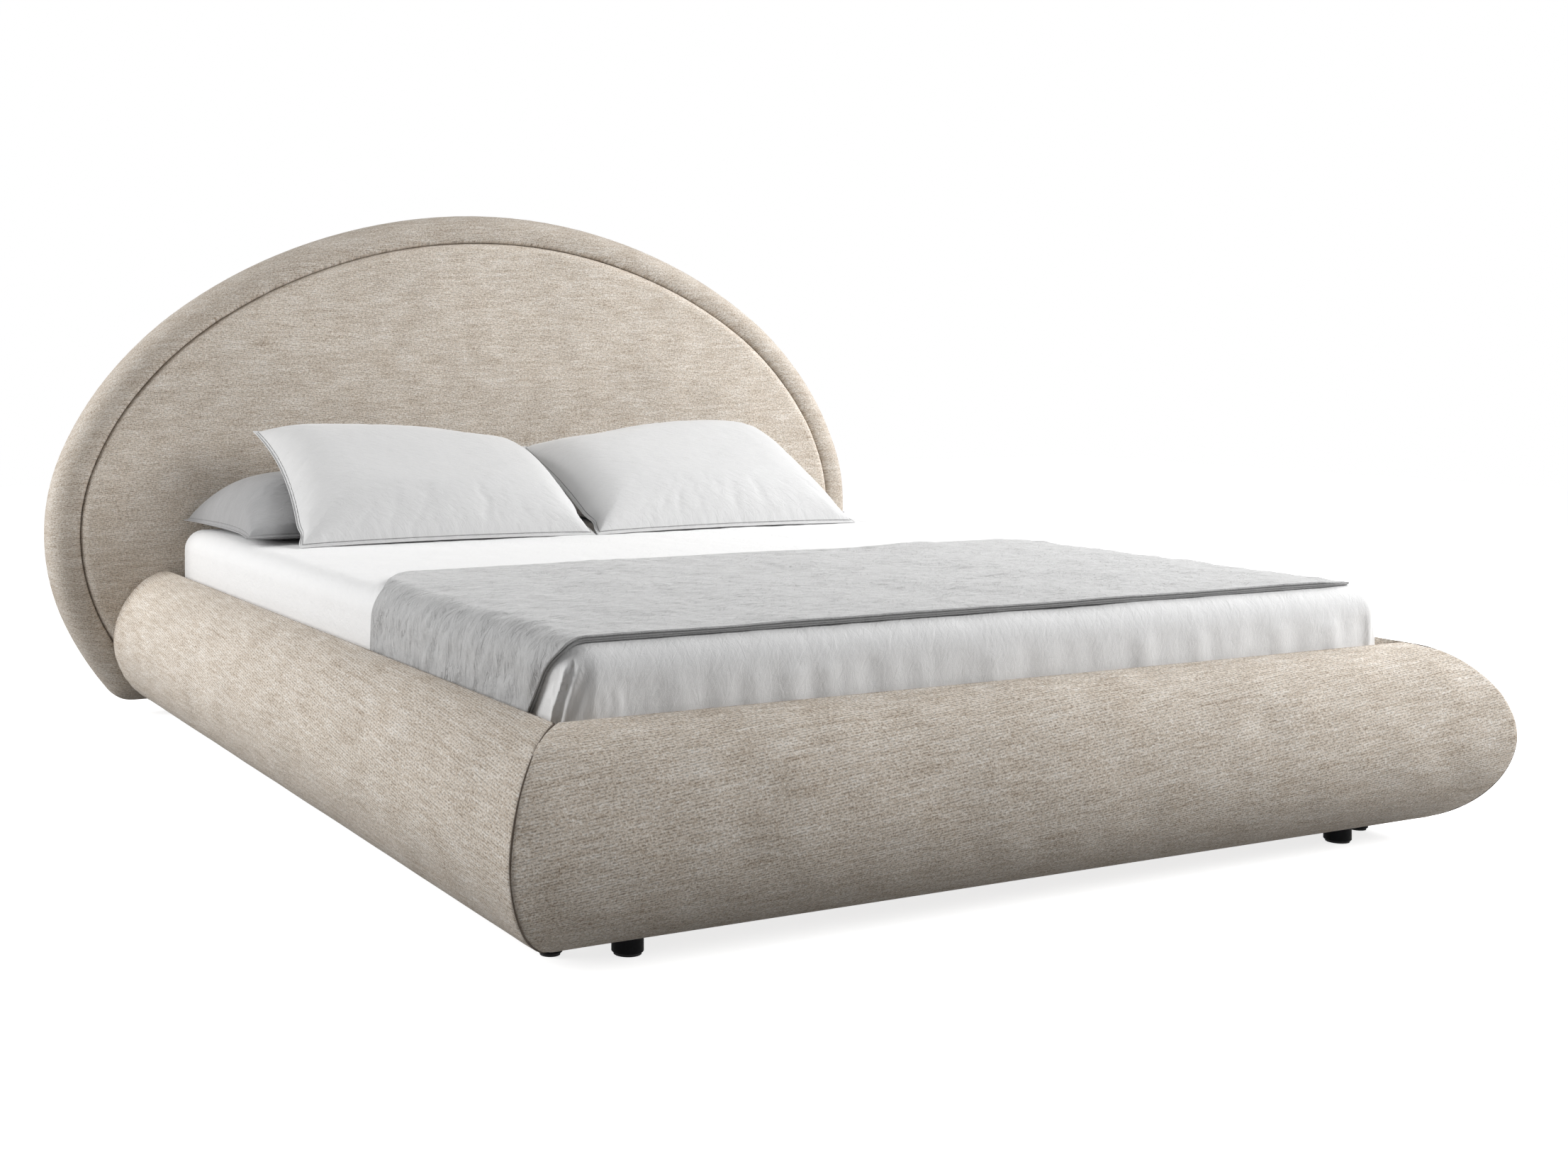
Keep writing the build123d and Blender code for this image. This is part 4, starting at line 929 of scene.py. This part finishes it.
def pillow_axis(count, half):
    """Places from -1 to 1 over a half length, close together in the lip."""
    low = np.array(PILLOW_LIP_PLACES) / half
    middle = np.linspace(-1 + low[-1] * 1.6, 1 - low[-1] * 1.6, count)
    low = -1 + low
    return np.concatenate([low, middle, -low[::-1]])


def slump(points, kind, side):
    """The shape that each pillow has sagged into, from the even form of its solid."""
    if kind == "front":
        for u, reach, move in FRONT_PULLS[side]:
            corner = np.array([u * PILLOW_HALF_WIDTH, PILLOW_HALF_DEPTH])
            near = np.exp(-((points[:, :2] - corner) ** 2 / np.square(reach)).sum(1))
            points = points + near[:, None] * move
        for u in (-1, 1):
            ear = bump_at(points[:, 1], 0.050 - PILLOW_HALF_DEPTH, 0.022)
            ear *= bump_at(points[:, 0], u * PILLOW_HALF_WIDTH, 0.028)
            points[:, 0] -= u * 0.009 * ear
    elif side > 0:
        points[:, 0] -= 0.064 * smoothstep(points[:, 0], 0.05, PILLOW_HALF_WIDTH)
    return points


def cad_height(tree, x, y, way):
    """Height of the CAD pillow over a grid, evened out: its top, or its underside for way 1."""
    found = np.zeros(x.shape)
    for index in np.ndindex(x.shape):
        hit = tree.ray_cast(Vector((x[index], y[index], -way)), Vector((0, 0, way)))[0]
        found[index] = hit.z if hit is not None else 0.0
    for _ in range(PILLOW_SMOOTH_STEPS):
        found[1:-1, 1:-1] = (found[1:-1, :-2] + found[1:-1, 2:]
                             + found[:-2, 1:-1] + found[2:, 1:-1]) / 4
    return found


def case_grid(source, to_local, kind, side):
    """Places of a case over the CAD pillow, its two heights and the distance from its edge."""
    tree = BVHTree.FromPolygons([to_local @ v.co for v in source.vertices],
                                [tuple(p.vertices) for p in source.polygons])
    uu, vv = np.meshgrid(pillow_axis(PILLOW_COLUMNS, PILLOW_HALF_WIDTH),
                         pillow_axis(PILLOW_ROWS, PILLOW_HALF_DEPTH))
    bow_x, bow_y = PILLOW_BOW * (1 - vv ** 2), PILLOW_BOW * (1 - uu ** 2)
    x, y = uu * (PILLOW_HALF_WIDTH - bow_x), vv * (PILLOW_HALF_DEPTH - bow_y)
    from_edge = np.minimum(PILLOW_HALF_WIDTH - np.abs(x) - bow_x,
                           PILLOW_HALF_DEPTH - np.abs(y) - bow_y)
    crown = 1 + PILLOW_CROWN * (1 - uu ** 2) * (1 - vv ** 2)
    lip = smoothstep(from_edge, PILLOW_LIP * 0.8, PILLOW_LIP * 3)
    top = np.maximum(cad_height(tree, x, y, -1.0) * crown * lip, PILLOW_SEAM_HALF)
    under = np.minimum(cad_height(tree, x, y, 1.0) * crown * lip, -PILLOW_SEAM_HALF)
    if kind == "front":
        inner_bow = np.where(uu * side < 0, FRONT_INNER_BOW, PILLOW_BOW)
        low_bow = np.where(vv < 0, FRONT_LOW_BOW, PILLOW_BOW)
        x = uu * (PILLOW_HALF_WIDTH - inner_bow * (1 - vv ** 2))
        y = vv * (PILLOW_HALF_DEPTH - low_bow * (1 - uu ** 2))
    return x, y, top, under, from_edge


def front_back_distance(points, side):
    """Distance of a rear pillow's points from the back of the pillow that leans on it."""
    rear, front = np.array(REAR_PLACE) * (side, 1, 1), np.array(FRONT_PLACE) * (side, 1, 1)
    return -(points + rear - front) @ FRONT_WAY - FRONT_BACK_GAP


def pillow(kind, label, side, place, tilt, seed):
    """Closed case over the CAD pillow's own form, with a narrow lip along its seam."""
    node_name = f"{kind}_pillow_{label}"
    local = (Matrix.Translation(Vector((side * place[0], *place[1:])))
             @ Matrix.Rotation(tilt, 4, "X"))
    x, y, top, under, from_edge = case_grid(NODES[node_name].data, local.inverted(), kind, side)
    rows, columns = x.shape
    border = np.zeros((rows, columns), bool)
    border[[0, -1], :] = True
    border[:, [0, -1]] = True
    inside = ~border.ravel()
    upper = np.stack([x, y, np.where(border, 0, top)], -1).reshape(-1, 3)
    lower = np.stack([x, y, under], -1).reshape(-1, 3)
    index = np.arange(rows * columns)
    lower_index = index.copy()
    lower_index[inside] = rows * columns + np.arange(inside.sum())
    points = np.concatenate([upper, lower[inside]])
    faces = grid_faces(rows, columns)
    faces += [tuple(int(lower_index[i]) for i in face)
              for face in grid_faces(rows, columns, flip=True)]
    uv = points[:, :2] + (0.8 * side, 0.3 * seed)
    piece = mesh_piece(f"{kind}_pillow_case_{label}", slump(points, kind, side), faces, uv)
    points = per_vertex(piece, "co")
    edge = np.concatenate([from_edge.ravel(), from_edge.ravel()[inside]])
    held = (edge < PILLOW_LIP * 1.05) | (points[:, 2] < 0)
    if kind == "rear":
        held |= front_back_distance(points, side) < REAR_HELD_REACH
    group = piece.vertex_groups.new(name="held")
    group.add([int(i) for i in np.nonzero(held)[0]], 1.0, "REPLACE")
    table = index.reshape(rows, columns)
    rings = [np.concatenate([grid[0, :-1], grid[:-1, -1], grid[-1, :0:-1], grid[:0:-1, 0]])
             for grid in (table, table[3:-3, 3:-3])]
    return SimpleNamespace(name=node_name, kind=kind, label=label, side=side, piece=piece,
                           local=local, points=points, held=held, rings=rings)


def filled(pieces):
    """Places of the cases' points after a few frames of pressure inside them."""
    for piece in pieces:
        cloth = piece.modifiers.new("cloth", "CLOTH")
        for key, value in SIM_SETTINGS.items():
            setattr(cloth.settings, key, value)
        cloth.settings.effector_weights.gravity = 0
        cloth.collision_settings.use_collision = False
        cloth.point_cache.frame_start = 1
        cloth.point_cache.frame_end = SIM_FRAMES
    for number in range(1, SIM_FRAMES + 1):
        SCENE.frame_set(number)
    graph = bpy.context.evaluated_depsgraph_get()
    settled = [per_vertex(piece.evaluated_get(graph), "co") for piece in pieces]
    for piece in pieces:
        piece.modifiers.clear()
    SCENE.frame_set(1)
    return settled


def finish_pillow(case, settled):
    """Takes over the simulated swell, no more than its cap, and adds the cord and the stitching,
    whose dark line is painted shade.
    """
    move = settled - case.points
    size = np.linalg.norm(move, axis=1)
    move *= np.minimum(1, SIM_CAP / np.maximum(size, 1e-9))[:, None]
    move[case.held] = 0
    points = case.points + move
    if case.kind == "rear":
        short = front_back_distance(points, case.side)
        points += np.where(short < 0, short, 0)[:, None] * FRONT_WAY
    set_vertices(case.piece, points)
    case.piece.matrix_world = case.local
    fine = case.piece.modifiers.new("fine", "SUBSURF")
    fine.levels = fine.render_levels = 1
    if case.kind == "front":
        cotton, slot, softness = PILLOWCASE, "pillowcase", 0.7
    else:
        cotton, slot, softness = REAR_CASE_GREY_AND_SHADE, "rear_pillowcase", 0.6
    dress(case.piece, cotton, case.name, case.name)
    for part, ring, radius, material in (("cord", case.rings[0], PILLOW_CORD, cotton),
                                         ("stitch", case.rings[1], PILLOW_STITCH, STITCH_SHADE)):
        line = tube(f"{case.kind}_pillow_{part}_{case.label}", points[ring], radius, closed=True)
        line.matrix_world = case.local
        dress(line, material, case.name, None)


cases = []
for side, label in ((-1, "left"), (1, "right")):
    cases.append(pillow("front", label, side, FRONT_PLACE, FRONT_TILT, 3 + side))
    cases.append(pillow("rear", label, side, REAR_PLACE, 0.0, 7 + side))
settled = filled([case.piece for case in cases])
for case, places in zip(cases, settled):
    finish_pillow(case, places)


# Camera, floor and light

def seen_apart(tree, falling, seen):
    """One shader for the light that falls on the object, one for what rays see of the room."""
    rays = add_node(tree, "LightPath").outputs
    share = math_node(tree, "MAXIMUM", rays["Is Camera Ray"], rays["Is Glossy Ray"])
    share = math_node(tree, "MAXIMUM", share, rays["Is Transmission Ray"])
    mixer = add_node(tree, "MixShader")
    tree.links.new(share, mixer.inputs["Fac"])
    tree.links.new(falling.outputs[0], mixer.inputs[1])
    tree.links.new(seen.outputs[0], mixer.inputs[2])
    return mixer.outputs[0]


def make_floor():
    corners = [(x * FLOOR_HALF, y * FLOOR_HALF, FLOOR_Z)
               for x, y in ((-1, -1), (1, -1), (1, 1), (-1, 1))]
    floor = mesh_piece("floor", corners, [(0, 1, 2, 3)])
    material, tree, shader = new_material("floor_paint", 0.8)
    grain = noise(tree, coordinates(tree, "Object"), 3.0, 3.0)
    tree.links.new(ramp(tree, grain, [(0.3, 0.25), (0.7, 0.27)]), shader.inputs["Base Color"])
    shown = add_node(tree, "BsdfDiffuse")
    tree.links.new(ramp(tree, grain, [(0.3, 0.88), (0.7, 0.90)]), shown.inputs["Color"])
    glow = add_node(tree, "Emission", Strength=FLOOR_GLOW)
    lit = add_node(tree, "AddShader")
    tree.links.new(shown.outputs[0], lit.inputs[0])
    tree.links.new(glow.outputs[0], lit.inputs[1])
    output = tree.nodes["Material Output"]
    tree.links.new(seen_apart(tree, shader, lit), output.inputs["Surface"])
    floor.data.materials.append(material)


def area_light(name, place, target, size, watts):
    data = bpy.data.lights.new(name, "AREA")
    data.shape = "RECTANGLE"
    data.size, data.size_y = size
    data.energy = watts
    lamp = bpy.data.objects.new(name, data)
    lamp.location = place
    lamp.rotation_euler = (Vector(target) - Vector(place)).to_track_quat("-Z", "Y").to_euler()
    SCENE.collection.objects.link(lamp)


def make_world():
    world = bpy.data.worlds.new("studio")
    SCENE.world = world
    world.use_nodes = True
    tree = world.node_tree
    tree.nodes.clear()
    output = add_node(tree, "OutputWorld")
    light = add_node(tree, "Background", Strength=WORLD_LIGHT)
    backdrop = add_node(tree, "Background", Color=(1, 1, 1, 1))
    tree.links.new(seen_apart(tree, light, backdrop), output.inputs["Surface"])


camera_data = bpy.data.cameras.new("camera")
camera_data.lens = CAMERA_LENS
camera_data.shift_x, camera_data.shift_y = CAMERA_SHIFT
camera_data.clip_end = 50
camera = bpy.data.objects.new("camera", camera_data)
camera.location = CAMERA_PLACE
camera.rotation_euler = (math.pi / 2, 0, CAMERA_TURN)
SCENE.collection.objects.link(camera)
SCENE.camera = camera

make_floor()
for lamp_name, settings in LAMPS.items():
    area_light(lamp_name, *settings)
make_world()
SCENE.view_settings.view_transform = "Standard"
